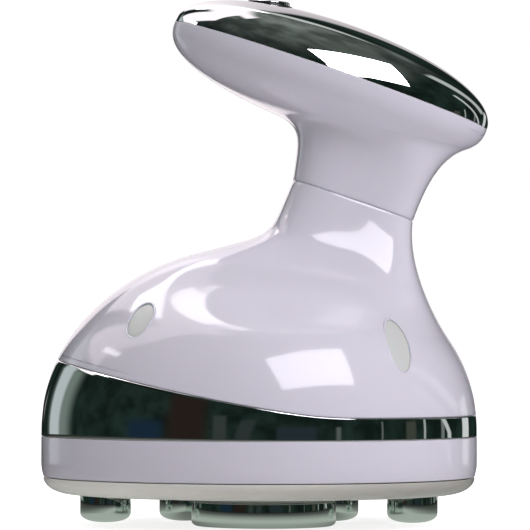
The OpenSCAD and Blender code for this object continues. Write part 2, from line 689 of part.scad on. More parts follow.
module power_socket() {
  color([0.12, 0.12, 0.13]) {
    difference() {
      union() {
        translate([-socket_w / 2, socket_back, chassis_top]) cube([socket_w, socket_depth, socket_h]);
        translate([0, socket_back + 1, socket_z]) rotate([-90, 0, 0])
          cylinder(h = base_r - gap - socket_back - 1, r = socket_nose);
      }
      translate([0, base_r - gap - socket_deep, socket_z]) rotate([-90, 0, 0])
        cylinder(h = socket_deep + 1, r = jack_bore / 2);
    }
    translate([0, base_r - gap - socket_deep - 1, socket_z]) rotate([-90, 0, 0])
      cylinder(h = socket_deep + 0.2, r = jack_pin / 2);
    for (x = [-2.6, 0, 2.6]) translate([x - 0.5, socket_back - 3, chassis_top + 2]) cube([1, 3.5, 0.6]);
  }
}
socket_nose = jack_bore / 2 + 0.45;
socket_deep = 11;
module shell_screws() {
  color("gray") at_shell_screws() translate([0, 0, cover_top + 0.8]) screw(shelf_top - cover_top + 8);
}

module neck_screws() {
  color("gray") at_neck_screws() translate([0, 0, web_top - web_t]) screw(9);
}
module handle_shell() {
  color([0.84, 0.82, 0.88]) difference() {
    union() {
      ring_solid(concat(handle_rings, handle_inner));
      spigot();
    }
    at_neck_screws() bar(web_top - 1, web_top + 7.4, screw_hole);
  }
}

// Power button, in its own upright frame on the cover's crown
button_a = acos((button_u - half_len) / half_len);
crown_h = top_h * spine(button_a);
button_at = from_handle(button_u, crown_h);
crown_rise = -top_h * fullness * pow(sin(button_a), fullness - 2) * cos(button_a) / half_len;
crown_slope = tilt - atan(crown_rise) - button_lean;
function crown_drop(y) = crown_h * (1 - crown(y / (handle_w / 2 * sin(button_a)))[1]);
button_r = button_d / 2;
sleeve_t = 0.7;                               // rim of the dark guide round the button
sleeve_out = button_r + 0.2 + sleeve_t;
stop_h = -4.7;                                // underside of the guide's rim
flange_t = 1.2;
stem_h = -7.2;
guide_bottom = -12;
ear_y = 12;
module at_button() { translate([button_at[0], 0, button_at[1]]) rotate([0, button_lean, 0]) children(); }
module handle_cover() {
  color([0.3, 0.34, 0.33]) difference() {
    union() {
      cap_solid();
      at_button() for (s = [-1, 1]) translate([0, s * ear_y, 0])
        bar(guide_bottom + 2, -crown_drop(ear_y) - 1, 2.6);
    }
    at_button() bar(-8, 4, sleeve_out + fit);
    at_button() for (s = [-1, 1]) translate([0, s * ear_y, 0]) bar(guide_bottom + 1, -4.4, 1.2);
  }
}
module ears(z0, z1, r) {
  for (s = [-1, 1]) translate([0, s * ear_y, 0]) bar(z0, z1, r);
}
module button_guide() {
  shoulder_h = -4.2;
  chamber = button_r + 1.1;
  body = chamber + 1.3;
  color([0.1, 0.1, 0.11]) at_button() difference() {
    union() {
      intersection() {
        bar(guide_bottom, 3, sleeve_out);
        rotate([0, crown_slope, 0]) translate([-20, -20, -39.6]) cube(40);
      }
      bar(guide_bottom, shoulder_h, body);
      ears(guide_bottom, guide_bottom + 2, 3.4);
      translate([-3.4, -ear_y, guide_bottom]) cube([6.8, 2 * ear_y, 2]);
    }
    bar(stop_h - 1, 4, button_r + 0.2);
    bar(guide_bottom - 1, stop_h, chamber);
    ears(guide_bottom - 1, guide_bottom + 3, 1.25);
  }
}
module power_button() {
  flange_top = stop_h - gap;
  edge = 0.5;
  color([0.75, 0.77, 0.77]) at_button() {
    rotate_extrude() polygon(concat([[0, stem_h], [2, stem_h], [2, flange_top - flange_t],
      [button_r + 0.8, flange_top - flange_t], [button_r + 0.8, flange_top], [button_r, flange_top]],
      [for (a = [0 : 15 : 90]) [button_r - edge + edge * cos(a), button_up - edge - 0.15 + edge * sin(a)]],
      [[0, button_up]]));
  }
}
module board_outline(z0, z1) {
  ears(z0, z1, 4.2);
  translate([-9, -ear_y, z0]) cube([18, 2 * ear_y, z1 - z0]);
}
board_low = guide_bottom - board_t;
module button_board() {
  color([0.1, 0.35, 0.2]) at_button() difference() {
    board_outline(board_low, guide_bottom);
    ears(board_low - 1, guide_bottom + 1, 1.25);
  }
}
switch_w = 6;
switch_h = 3.4;
plunger_r = 1.7;
module tact_switch() {
  color([0.2, 0.2, 0.2]) at_button() difference() {
    translate([-switch_w / 2, -switch_w / 2, guide_bottom]) cube([switch_w, switch_w, switch_h]);
    bar(guide_bottom + 0.8, guide_bottom + switch_h + 1, plunger_r + fit);
  }
}
module switch_plunger() {
  color("white") at_button() bar(guide_bottom + 0.8 + button_travel + gap, stem_h, plunger_r);
}
module button_screws() {
  color("gray") at_button() ears(board_low - 1.4, board_low, 2.2);
  color("gray") at_button() ears(board_low, guide_bottom + 7, 1.05);
}

// The harness runs from the main board through the neck to the button board
plug_size = [8, 6, 6];
plug_place = [24, 6];
button_plug_x = 4.5;
module harness_plug() {
  color("ivory") {
    translate([plug_place[0] - plug_size[0] / 2, plug_place[1] - plug_size[1] / 2, board_top]) cube(plug_size);
    at_button() translate([button_plug_x - plug_size[0] / 2, -plug_size[1] / 2, board_low - plug_size[2]])
      cube(plug_size);
  }
}
wire_r = 1.6;
wire_sides = 8;
button_axis = square_to(button_lean);
wire_start = [plug_place[0], board_top + plug_size[2]];
wire_end = button_at + button_plug_x * along(button_lean) + (board_low - plug_size[2]) * button_axis;
function wire_route(t) = t < 1
  ? bezier(wire_start, wire_start + [0, 22], seam_mid - 34 * square_to(tilt), seam_mid, t)
  : bezier(seam_mid, seam_mid + 22 * square_to(tilt), wire_end - 12 * button_axis, wire_end, t - 1);
function wire_side(t) = plug_place[1] * pow(1 - min(t, 1), 2);
module wire_harness() {
  count = 30;
  path = [for (i = [0 : count]) let (t = 2 * i / count, p = wire_route(t)) [p[0], wire_side(t), p[1]]];
  dirs = [for (i = [0 : count]) i == 0 ? [0, 0, 1] : i == count ? [button_axis[0], 0, button_axis[1]]
    : unit(path[i + 1] - path[i - 1])];
  rings = [for (i = [0 : count]) let (a = unit(cross([0, 1, 0], dirs[i])), b = cross(dirs[i], a))
    each [for (k = [0 : wire_sides - 1]) let (c = 360 * k / wire_sides)
      path[i] + wire_r * (cos(c) * a + sin(c) * b)]];
  faces = concat([[for (k = [0 : wire_sides - 1]) k]],
    [for (i = [0 : count - 1]) for (k = [0 : wire_sides - 1])
      let (a = i * wire_sides + k, b = i * wire_sides + (k + 1) % wire_sides, n = wire_sides)
      each [[a, a + n, b], [b, a + n, b + n]]],
    [[for (k = [wire_sides - 1 : -1 : 0]) count * wire_sides + k]]);
  color([0.15, 0.15, 0.15]) polyhedron(rings, faces, convexity = 6);
}

dome_shell();
chrome_band();
lower_shell();
light_cover();
chassis();
probe_head();
probe_ring();
temperature_sensor();
probe_screws();
electrode_left();
electrode_right();
electrode_rear_left();
electrode_rear_right();
electrode_gaskets();
electrode_terminals();
electrode_nuts();
led_board();
leds();
main_board();
rf_transformer();
heat_sink();
power_transistors();
capacitors();
harness_plug();
board_screws();
power_socket();
shell_screws();
window_front_left();
window_front_right();
window_rear_left();
window_rear_right();
window_leds();
handle_shell();
handle_cover();
neck_screws();
button_guide();
power_button();
button_board();
tact_switch();
switch_plunger();
button_screws();
wire_harness();
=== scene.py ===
import json
import math

import bmesh
import bpy
import numpy as np
from mathutils import Matrix, Vector


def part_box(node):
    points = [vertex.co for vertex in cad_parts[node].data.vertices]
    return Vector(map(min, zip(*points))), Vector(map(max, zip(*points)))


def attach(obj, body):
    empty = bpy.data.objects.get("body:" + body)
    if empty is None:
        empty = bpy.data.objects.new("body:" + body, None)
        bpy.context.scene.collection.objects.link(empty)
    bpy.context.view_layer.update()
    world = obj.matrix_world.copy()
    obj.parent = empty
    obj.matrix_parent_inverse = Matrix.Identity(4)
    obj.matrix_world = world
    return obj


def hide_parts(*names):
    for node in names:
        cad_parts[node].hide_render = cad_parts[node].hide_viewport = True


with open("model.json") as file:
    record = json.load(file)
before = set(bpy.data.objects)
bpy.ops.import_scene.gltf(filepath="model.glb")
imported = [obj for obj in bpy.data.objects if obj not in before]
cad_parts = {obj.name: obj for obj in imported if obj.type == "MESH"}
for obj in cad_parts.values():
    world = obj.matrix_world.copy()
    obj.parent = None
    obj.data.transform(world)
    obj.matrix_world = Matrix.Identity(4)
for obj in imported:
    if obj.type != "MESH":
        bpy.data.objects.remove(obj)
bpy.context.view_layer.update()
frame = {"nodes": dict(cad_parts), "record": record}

nodes = frame["nodes"]
mm = 0.001
nearAxis = 0.01   # where a turned outline ends beside its axis
print("frame loaded,", len(nodes), "nodes")


# small tools; lengths are in millimetres unless a note says otherwise

def unit(v):
    v = np.asarray(v, float)
    return v / np.linalg.norm(v)


def around(sides):
    return np.linspace(0, 2 * math.pi, sides, endpoint=False)


def oval(halfLong, halfWide, sides=96):
    return [(halfLong * math.cos(a), halfWide * math.sin(a)) for a in around(sides)]


def bend(a, corner, b, t):
    # a place on the way from a to b, drawn towards the corner
    a, corner, b = (np.asarray(p, float) for p in (a, corner, b))
    return a * (1 - t) ** 2 + 2 * corner * t * (1 - t) + b * t * t


def bezier(a, b, c, d, t):
    a, b, c, d = (np.asarray(p, float) for p in (a, b, c, d))
    return a * (1 - t) ** 3 + 3 * b * t * (1 - t) ** 2 + 3 * c * t * t * (1 - t) + d * t ** 3


def addMesh(name, points, faces=(), edges=(), smooth=True):
    mesh = bpy.data.meshes.new(name)
    mesh.from_pydata([tuple(float(x) * mm for x in p) for p in points], edges, faces)
    mesh.validate()
    piece = bpy.data.objects.new(name, mesh)
    bpy.context.scene.collection.objects.link(piece)
    if smooth:
        mesh.shade_smooth()
    return piece


def tidyMesh(piece, merge=0.004):
    work = bmesh.new()
    work.from_mesh(piece.data)
    bmesh.ops.remove_doubles(work, verts=work.verts, dist=merge * mm)
    bmesh.ops.dissolve_degenerate(work, edges=work.edges, dist=0.001 * mm)
    bmesh.ops.recalc_face_normals(work, faces=work.faces)
    work.to_mesh(piece.data)
    work.free()
    return piece


def gridFaces(rows, columns, closedRows=False, closedColumns=True):
    faces = []
    for i in range(rows if closedRows else rows - 1):
        for j in range(columns if closedColumns else columns - 1):
            k = (i + 1) % rows
            n = (j + 1) % columns
            faces.append((i * columns + j, i * columns + n, k * columns + n, k * columns + j))
    return faces


def loft(name, rings, closedRows=False):
    # a skin over rings of equally many points
    faces = gridFaces(len(rings), len(rings[0]), closedRows)
    return tidyMesh(addMesh(name, [p for ring in rings for p in ring], faces))


def revolve(name, outline, sides=192, centre=(0, 0)):
    # outline is a closed loop of (radius, height), turned about a vertical axis
    return loft(name, [[(centre[0] + r * math.cos(a), centre[1] + r * math.sin(a), z) for a in around(sides)]
                       for r, z in outline], closedRows=True)


def addPrism(name, low, high, smooth=True):
    # a closed bar between two loops of equally many points
    n = len(low)
    faces = gridFaces(2, n) + [tuple(range(n))[::-1], tuple(range(n, 2 * n))]
    return tidyMesh(addMesh(name, [*low, *high], faces, smooth=smooth))


def barrel(name, place, direction, radius, low, high, sides=96):
    # a round bar along direction, from low to high measured from place
    turn = Vector(direction).to_track_quat("Z", "Y").to_matrix()
    loops = []
    for h in (low, high):
        spokes = [turn @ Vector((u, v, h)) for u, v in oval(radius, radius, sides)]
        loops.append([tuple(c + s for c, s in zip(place, spoke)) for spoke in spokes])
    return addPrism(name, *loops)


def roundCorner(a, corner, b, radius, steps=5):
    # points of a fillet at corner, on the way from a to b
    corner = np.asarray(corner, float)
    p = corner + radius * unit(np.asarray(a, float) - corner)
    q = corner + radius * unit(np.asarray(b, float) - corner)
    return [tuple(bend(p, corner, q, t)) for t in np.linspace(0, 1, steps + 1)]


def roundedOutline(corners):
    # corners are (radius, height, rounding); a rounding of 0 keeps the corner sharp
    out = []
    for i, (r, z, rounding) in enumerate(corners):
        before, after = corners[i - 1][:2], corners[(i + 1) % len(corners)][:2]
        out += roundCorner(before, (r, z), after, rounding) if rounding else [(r, z)]
    return out


def applyAll(piece):
    # bakes the modifiers into a plain mesh
    graph = bpy.context.evaluated_depsgraph_get()
    graph.update()
    done = bpy.data.meshes.new_from_object(piece.evaluated_get(graph))
    piece.modifiers.clear()
    old = piece.data
    piece.data = done
    bpy.data.meshes.remove(old)
    return piece


def addWall(piece, thickness):
    # thickens a skin inwards
    wall = piece.modifiers.new("wall", "SOLIDIFY")
    wall.thickness = thickness * mm
    wall.offset = -1
    return applyAll(piece)


def cutAway(piece, cutters):
    for cutter in cutters:
        mod = piece.modifiers.new("cut", "BOOLEAN")
        mod.operation = "DIFFERENCE"
        mod.solver = "EXACT"
        mod.object = cutter
    applyAll(piece)
    for cutter in cutters:
        mesh = cutter.data
        bpy.data.objects.remove(cutter)
        bpy.data.meshes.remove(mesh)
    return piece


def sharpen(piece, degrees=32):
    piece.data.shade_smooth()
    piece.data.set_sharp_from_angle(angle=math.radians(degrees))
    return piece


def dress(piece, body, slot, *replaced):
    piece.data.materials.clear()
    piece.data.materials.append(finishes[slot])
    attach(piece, body)
    if replaced:
        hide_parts(*replaced)
    return piece


# node trees

def setInputs(tree, node, **inputs):
    # an input gets a plain value, or a link where another node's output is given
    for name, value in inputs.items():
        socket = node.inputs[name.replace("_", " ")]
        if isinstance(value, bpy.types.NodeSocket):
            tree.links.new(value, socket)
        else:
            socket.default_value = value
    return node


def addNode(tree, kind, **inputs):
    return setInputs(tree, tree.nodes.new(kind), **inputs)


def addMath(tree, operation, a, b=None):
    node = tree.nodes.new("ShaderNodeMath")
    node.operation = operation
    for socket, value in zip(node.inputs, (a, b)):
        if isinstance(value, (int, float)):
            socket.default_value = value
        elif value is not None:
            tree.links.new(value, socket)
    return node.outputs["Value"]


def times(tree, a, b):
    return addMath(tree, "MULTIPLY", a, b)


def addFade(tree, value, low, high, start=0.0, end=1.0, kind="SMOOTHSTEP"):
    # goes from start to end while the value goes from low to high
    fade = addNode(tree, "ShaderNodeMapRange", Value=value, From_Min=low, From_Max=high, To_Min=start,
                   To_Max=end)
    fade.interpolation_type = kind
    return fade.outputs["Result"]


def addRamp(tree, value, stops):
    ramp = addNode(tree, "ShaderNodeValToRGB", Fac=value)
    elements = ramp.color_ramp.elements
    elements[0].position, elements[0].color = stops[0][0], (*stops[0][1], 1)
    elements[1].position, elements[1].color = stops[-1][0], (*stops[-1][1], 1)
    for position, colour in stops[1:-1]:
        elements.new(position).color = (*colour, 1)
    return ramp.outputs["Color"]


def mixShaders(tree, share, first, second):
    mix = addNode(tree, "ShaderNodeMixShader", Fac=share)
    tree.links.new(first, mix.inputs[1])
    tree.links.new(second, mix.inputs[2])
    return mix.outputs["Shader"]


def objectPlace(tree):
    return tree.nodes.new("ShaderNodeTexCoord").outputs["Object"]


def splitPlace(tree, place):
    split = addNode(tree, "ShaderNodeSeparateXYZ", Vector=place)
    return [split.outputs[axis] for axis in "XYZ"]


def addNoise(tree, scale, detail=3, roughness=0.5, place=None):
    return addNode(tree, "ShaderNodeTexNoise", Vector=place or objectPlace(tree), Scale=scale, Detail=detail,
                   Roughness=roughness).outputs["Fac"]


# finishes: scales of the noise, depths in metres, and spans of the noise and of the roughness

patterns = {"tint": 22, "gloss": 60, "glossSpan": (0.9, 1.12), "grainDepth": 0.0004,
            "smudge": 35, "smudgeFrom": (0.48, 0.75), "plateTint": 14, "plateShade": 0.985, "wave": 25,
            "waveDepth": 0.0008, "copper": 260, "copperWidth": 0.12, "maskGloss": 0.35,
            "drawn": 400, "drawnShade": 0.86, "drawnSpan": (0.8, 1.25), "noiseFrom": (0.35, 0.65)}


def newFinish(name, colour, roughness, **inputs):
    finish = bpy.data.materials.new(name)
    finish.use_nodes = True
    tree = finish.node_tree
    shader = tree.nodes["Principled BSDF"]
    setInputs(tree, shader, Base_Color=(*colour, 1), Roughness=roughness, **inputs)
    return finish, tree, shader


def shade(colour, factor):
    return tuple(c * factor for c in colour)


def addTint(tree, shader, noise, dark, light):
    low, high = patterns["noiseFrom"]
    setInputs(tree, shader, Base_Color=addRamp(tree, noise, [(low, dark), (high, light)]))


def addGloss(tree, shader, noise, low, high, span=patterns["noiseFrom"]):
    setInputs(tree, shader, Roughness=addFade(tree, noise, *span, low, high, "LINEAR"))


def addBump(tree, shader, noise, strength, distance):
    bump = addNode(tree, "ShaderNodeBump", Height=noise, Strength=strength, Distance=distance)
    setInputs(tree, shader, Normal=bump.outputs["Normal"])


def mouldedFinish(name, colour, roughness, grain=900, depth=0.04, variation=0.03, **inputs):
    # moulded plastic or rubber: slight tint changes, a fine grain and uneven gloss
    finish, tree, shader = newFinish(name, colour, roughness, **inputs)
    cloudy = addNoise(tree, patterns["tint"])
    addTint(tree, shader, cloudy, shade(colour, 1 - variation), shade(colour, 1 + variation / 2))
    addBump(tree, shader, addNoise(tree, grain, 2), depth, patterns["grainDepth"])
    addGloss(tree, shader, addNoise(tree, patterns["gloss"]), *(roughness * s for s in patterns["glossSpan"]))
    return finish


def platedFinish(name, colour, roughness, smudge=0.05, wave=0.02):
    # bright plating: faint smudges and a nearly flat surface
    finish, tree, shader = newFinish(name, colour, roughness, Metallic=1.0)
    cloudy = addNoise(tree, patterns["smudge"], 5, 0.6)
    addGloss(tree, shader, cloudy, roughness, roughness + smudge, patterns["smudgeFrom"])
    dark = shade(colour, patterns["plateShade"])
    addTint(tree, shader, addNoise(tree, patterns["plateTint"]), dark, colour)
    addBump(tree, shader, addNoise(tree, patterns["wave"], 1), wave, patterns["waveDepth"])
    return finish


def boardFinish(name, mask, trace):
    # solder mask with the faint lines of the copper under it
    finish, tree, shader = newFinish(name, mask, patterns["maskGloss"])
    cells = addNode(tree, "ShaderNodeTexVoronoi", Vector=objectPlace(tree), Scale=patterns["copper"])
    cells.feature = "DISTANCE_TO_EDGE"
    stops = [(0.0, trace), (patterns["copperWidth"], mask)]
    setInputs(tree, shader, Base_Color=addRamp(tree, cells.outputs["Distance"], stops))
    return finish


def brushedFinish(name, colour, roughness, stretch):
    # bare metal with a drawn grain along one axis
    finish, tree, shader = newFinish(name, colour, roughness, Metallic=1.0)
    mapping = addNode(tree, "ShaderNodeMapping", Vector=objectPlace(tree), Scale=stretch)
    noise = addNoise(tree, patterns["drawn"], 2, place=mapping.outputs["Vector"])
    addTint(tree, shader, noise, shade(colour, patterns["drawnShade"]), colour)
    addGloss(tree, shader, noise, *(roughness * s for s in patterns["drawnSpan"]))
    return finish


def addPaintedShadeSlope(finish, left, right, start, end):
    # painted shade: the colour deepens from the high side of the object to the low one, standing in for the
    # light that falls from the high side, between two places in metres
    tree = finish.node_tree
    shader = tree.nodes["Principled BSDF"]
    x, _, _ = splitPlace(tree, objectPlace(tree))
    scaled = tree.nodes.new("ShaderNodeVectorMath")
    scaled.operation = "SCALE"
    tree.links.new(shader.inputs["Base Color"].links[0].from_socket, scaled.inputs[0])
    setInputs(tree, scaled, Scale=addFade(tree, x, start, end, left, right, "LINEAR"))
    setInputs(tree, shader, Base_Color=scaled.outputs["Vector"])


finishes = {
    "white_shell": mouldedFinish("whiteShell", (0.755, 0.73, 0.80), 0.10, grain=500, depth=0.012,
                                 variation=0.015, Coat_Weight=0.45, Coat_Roughness=0.03,
                                 Specular_IOR_Level=0.55, Subsurface_Weight=0.06, Subsurface_Scale=0.004),
    "chrome_trim": platedFinish("chromeTrim", (0.86, 0.885, 0.88), 0.012, smudge=0.03, wave=0.012),
    "chrome_heads": platedFinish("chromeHeads", (0.76, 0.835, 0.79), 0.03),
    "warm_cover": mouldedFinish("warmCover", (0.745, 0.73, 0.66), 0.18, depth=0.02, variation=0.04,
                                Coat_Weight=0.3, Coat_Roughness=0.08, Subsurface_Weight=0.15,
                                Subsurface_Scale=0.004),
    "frosted_lens": mouldedFinish("frostedLens", (0.66, 0.67, 0.64), 0.38, grain=1500, depth=0.06,
                                  Subsurface_Weight=0.25, Subsurface_Scale=0.003),
    "pale_seal": mouldedFinish("paleSeal", (0.50, 0.52, 0.48), 0.5, depth=0.05),
    "dark_seal": mouldedFinish("darkSeal", (0.02, 0.02, 0.022), 0.6, depth=0.08),
    "black_plastic": mouldedFinish("blackPlastic", (0.012, 0.012, 0.014), 0.34, depth=0.06),
    "chassis_plastic": mouldedFinish("chassisPlastic", (0.05, 0.053, 0.06), 0.5, depth=0.1),
    "button_metal": platedFinish("buttonMetal", (0.86, 0.87, 0.87), 0.05, smudge=0.04),
    "board_green": boardFinish("boardGreen", (0.012, 0.08, 0.03), (0.03, 0.16, 0.06)),
    "led_clear": mouldedFinish("ledClear", (0.75, 0.70, 0.58), 0.2, grain=1800, depth=0.05,
                               Subsurface_Weight=0.2, Subsurface_Scale=0.001),
    "core_dark": mouldedFinish("coreDark", (0.02, 0.018, 0.018), 0.7, grain=1200, depth=0.15),
    "sink_aluminium": brushedFinish("sinkAluminium", (0.72, 0.73, 0.75), 0.35, (1, 1, 12)),
    "can_blue": mouldedFinish("canBlue", (0.02, 0.03, 0.12), 0.3, depth=0.03),
    "plug_ivory": mouldedFinish("plugIvory", (0.72, 0.68, 0.56), 0.45, depth=0.06),
    "cable_black": mouldedFinish("cableBlack", (0.012, 0.012, 0.013), 0.55, grain=1400, depth=0.12),
    "sensor_amber": mouldedFinish("sensorAmber", (0.55, 0.14, 0.02), 0.25, depth=0.05),
    "screw_steel": brushedFinish("screwSteel", (0.58, 0.59, 0.60), 0.32, (6, 6, 1)),
    "brass_tag": brushedFinish("brassTag", (0.72, 0.50, 0.18), 0.3, (1, 8, 1))}
# painted shade on the light cover: lighter on its high side, darker on its low one
addPaintedShadeSlope(finishes["warm_cover"], left=1.32, right=0.58, start=-0.042, end=0.062)
for part in frame["record"]["subparts"]:
    node = nodes[part["node"]]
    node.data.materials.clear()
    node.data.materials.append(finishes[part["material_slot"]])
print("finishes made")


# base of the device: widest radius, and heights over the plane that the heads touch

base = {"radius": 69.0, "headZ": 9.8, "seatZ": 15.0, "bandZ": 27.9, "rimZ": 29.1}
band = {"wall": 1.2, "low": 6.7, "sweep": 18.6, "bendShare": 0.29, "blend": 8.0, "straight": 0.686,
        "gap": 0.04, "soft": 0.28, "softBend": 0.3, "rows": 16, "sides": 288}
dome = {"waistZ": 30.0, "rise": 58.0, "roundRise": 29.0, "shoulderDrop": 2.6, "cornerPull": 1.12,
        "sidePace": 1.294, "neckLean": (0.4, 0.92), "lowPull": 5.3, "lowReach": 16.0, "lowLean": (0.12, 1),
        "wall": 2.0, "rimRound": 0.35, "bandGap": 0.12, "behindBand": 0.15, "footGap": 0.05,
        "roundRows": 28, "flareRows": 85, "sides": 224,
        "hiddenRows": (0, 0.35, 0.7, 1),                            # shares of the way up behind the band
        "lipRows": ((1.6, 0), (0.7, 0.1), (0.2, 0.45), (0, 1)),     # inset and height, in rimRound
        "seamRows": ((0.992, 0.0), (0.998, 0.12), (1.0, 0.45))}     # share of the way up and inset
neck = {"x": 29.5, "z": 102.25, "length": 40.0, "width": 39.2, "tilt": 19.0, "square": 2.1, "squareFrom": 0.8,
        "waist": (-0.163, -0.178, 0.117)}

tilt = math.radians(neck["tilt"])
downSlope = np.array([math.cos(tilt), -math.sin(tilt)])   # X and Z
offSlope = np.array([math.sin(tilt), math.cos(tilt)])
seamMid = np.array([neck["x"], neck["z"]])
seamHigh = seamMid - neck["length"] / 2 * downSlope
seamLow = seamMid + neck["length"] / 2 * downSlope


def domeRadius(z, inset=0.0):
    h = max(0.0, z - dome["waistZ"])
    return (base["radius"] - inset) * math.sqrt(max(0.0, 1 - (h / (dome["rise"] - inset)) ** 2))


def domeSlope(z):
    h = max(0.0, z - dome["waistZ"])
    return (base["radius"] / dome["rise"]) ** 2 * h / domeRadius(z)


def bandEdge(x):
    # height of the band's edge: level on the low side, swept up towards the high one
    bendX = band["bendShare"] * base["radius"]
    s = bendX - x
    q = (s + math.sqrt(s * s + band["blend"] ** 2)) / 2 / (base["radius"] + bendX)
    return base["bandZ"] + band["low"] + band["sweep"] * q * (band["straight"] + (1 - band["straight"]) * q)


def edgeHeight(angle):
    # height of the band's edge on the dome in one direction
    z = base["bandZ"] + band["low"]
    for _ in range(20):
        z = bandEdge(domeRadius(z) * math.cos(angle))
    return z


def rowAround(angles, heights, inset=0.0, recess=0.0):
    # points round the dome, each direction with its own height
    return [((domeRadius(z, recess) - inset) * math.cos(a), (domeRadius(z, recess) - inset) * math.sin(a), z)
            for a, z in zip(angles, heights)]


roundZ = dome["waistZ"] + dome["roundRise"]
shoulderZ = dome["waistZ"] + dome["rise"] - dome["shoulderDrop"]
shoulder = np.array([-domeRadius(shoulderZ), shoulderZ])
shoulderLine = unit([domeSlope(shoulderZ), 1])
neckLine = unit(dome["neckLean"])
crossing = ((neckLine[1] * (seamHigh[0] - shoulder[0]) - neckLine[0] * (seamHigh[1] - shoulder[1]))
            / (shoulderLine[0] * neckLine[1] - shoulderLine[1] * neckLine[0]))
shoulderCorner = shoulder + crossing * shoulderLine
roundLow = np.array([domeRadius(roundZ), roundZ])
flankLine = unit([-domeSlope(roundZ), 1])


def highSide(t):
    # up the round dome, then over the shoulder into the neck
    if t < 0.5:
        pace = dome["sidePace"]
        z = roundZ + (shoulderZ - roundZ) * 2 * t * (pace - 2 * (pace - 1) * t)
        return np.array([-domeRadius(z), z])
    pull = dome["cornerPull"]
    return bezier(shoulder, shoulder + pull * (shoulderCorner - shoulder),
                  seamHigh + pull * (shoulderCorner - seamHigh), seamHigh, 2 * t - 1)


def lowSide(t):
    return bezier(roundLow, roundLow + dome["lowPull"] * flankLine,
                  seamLow - dome["lowReach"] * unit(dome["lowLean"]), seamLow, t)


def lobe(v, square):
    # square is 0 for an ellipse and grows towards a rounded square
    return math.copysign(abs(v) ** (2 / (2 + square)), v)


def ringOf(high, low, halfWidth, sides, square=0.0):
    middle, arm = (high + low) / 2, (low - high) / 2
    ring = []
    for a in around(sides):
        c, s = lobe(math.cos(a), square), lobe(math.sin(a), square)
        ring.append((middle[0] + arm[0] * c, halfWidth * s, middle[1] + arm[1] * c))
    return ring


def squareAt(t):
    # the neck turns squarer on its way up to the seam
    b = min(1.0, t / neck["squareFrom"])
    return neck["square"] * b * b * (3 - 2 * b)


def waistAt(t):
    # how far the flare draws in from front and back, level with the round dome at its foot
    a, b, c = neck["waist"]
    s = math.sin(math.pi * t) ** 2
    return 1 + a * s + b * s * math.cos(math.pi * t) + c * t * t * (1 - t)


def domeRing(t, inset=0.0):
    high, low = highSide(t), lowSide(t)
    halfWidth = (np.linalg.norm(low - high) / 2 * waistAt(t)
                 * (1 + t * (neck["width"] / neck["length"] - 1)))
    line = unit(low - high)
    return ringOf(high + inset * line, low - inset * line, halfWidth - inset, dome["sides"], squareAt(t))


windows = {"width": 9.4, "roll": 16.0, "sunk": 0.3, "thick": 1.9, "gap": 0.15, "cut": (-9, 4),
           "edgeFrom": 0.82, "edgeDrop": 0.22, "spokes": 72, "rounds": 10,
           "rim": 0.34, "rimOut": 0.05, "rimSunk": 0.75,
           "high": {"length": 14.6, "azimuth": 131.5, "rise": 34.7},
           "low": {"length": 20.0, "azimuth": 45.5, "rise": 27.2}}
windowPlaces = {}
for label, side in (("front", -1), ("rear", 1)):
    for end, kind, roll in (("left", "high", -side), ("right", "low", side)):
        spec = windows[kind]
        azimuth, turned = side * math.radians(spec["azimuth"]), math.radians(roll * windows["roll"])
        windowPlaces["window_" + label + "_" + end] = (azimuth, spec["rise"], turned, spec["length"])


def windowFrame(azimuth, rise, roll):
    # place and turn of a light window: X along the window, Z out of the dome
    z = dome["waistZ"] + rise
    r = domeRadius(z)
    place = Vector((r * math.cos(azimuth), r * math.sin(azimuth), z))
    lift = math.atan(domeSlope(z))
    turn = (Matrix.Rotation(azimuth, 3, "Z") @ Matrix.Rotation(math.pi / 2 - lift, 3, "Y")
            @ Matrix.Rotation(roll, 3, "Z"))
    return place, turn


def onDome(place, turn, u, v, inset):
    # the point of the dome's skin over (u, v) in a window's own plane, found in a few steps
    p = place + turn @ Vector((u, v, 0))
    out = turn @ Vector((0, 0, 1))
    for _ in range(12):
        r = math.hypot(p.x, p.y)
        gap = r - domeRadius(p.z, inset)
        normal = Vector((p.x / r, p.y / r, domeSlope(p.z))).normalized()
        p = p - out * (gap * normal.dot(Vector((p.x / r, p.y / r, 0))) / max(0.2, normal.dot(out)))
    return p


def makeDome():
    angles = around(dome["sides"])
    edges = np.array([edgeHeight(a) for a in angles]) + dome["bandGap"]
    foot, lip = base["rimZ"] + dome["footGap"], dome["rimRound"]
    rings = [rowAround(angles, foot + share * (edges - foot), recess=band["wall"] + dome["behindBand"])
             for share in dome["hiddenRows"]]
    rings += [rowAround(angles, edges + lip * up, lip * inset) for inset, up in dome["lipRows"]]
    rings += [rowAround(angles, edges + lip + share * (roundZ - edges - lip))
              for share in np.linspace(0, 1, dome["roundRows"])[1:]]
    rings += [domeRing(t) for t in np.linspace(0, 1, dome["flareRows"])[1:-1]]
    rings += [domeRing(t, inset) for t, inset in dome["seamRows"]]
    piece = addWall(loft("domeSkin", rings), dome["wall"])
    cutters = []
    for azimuth, rise, roll, length in windowPlaces.values():
        place, turn = windowFrame(azimuth, rise, roll)
        outline = oval(length / 2, windows["width"] / 2)
        cutters.append(addPrism("cutter", *([place + turn @ Vector((u, v, h)) for u, v in outline]
                                            for h in windows["cut"])))
    return sharpen(cutAway(piece, cutters))


domeSkin = dress(makeDome(), "body", "white_shell", "dome_shell")
print("dome made", len(domeSkin.data.polygons))


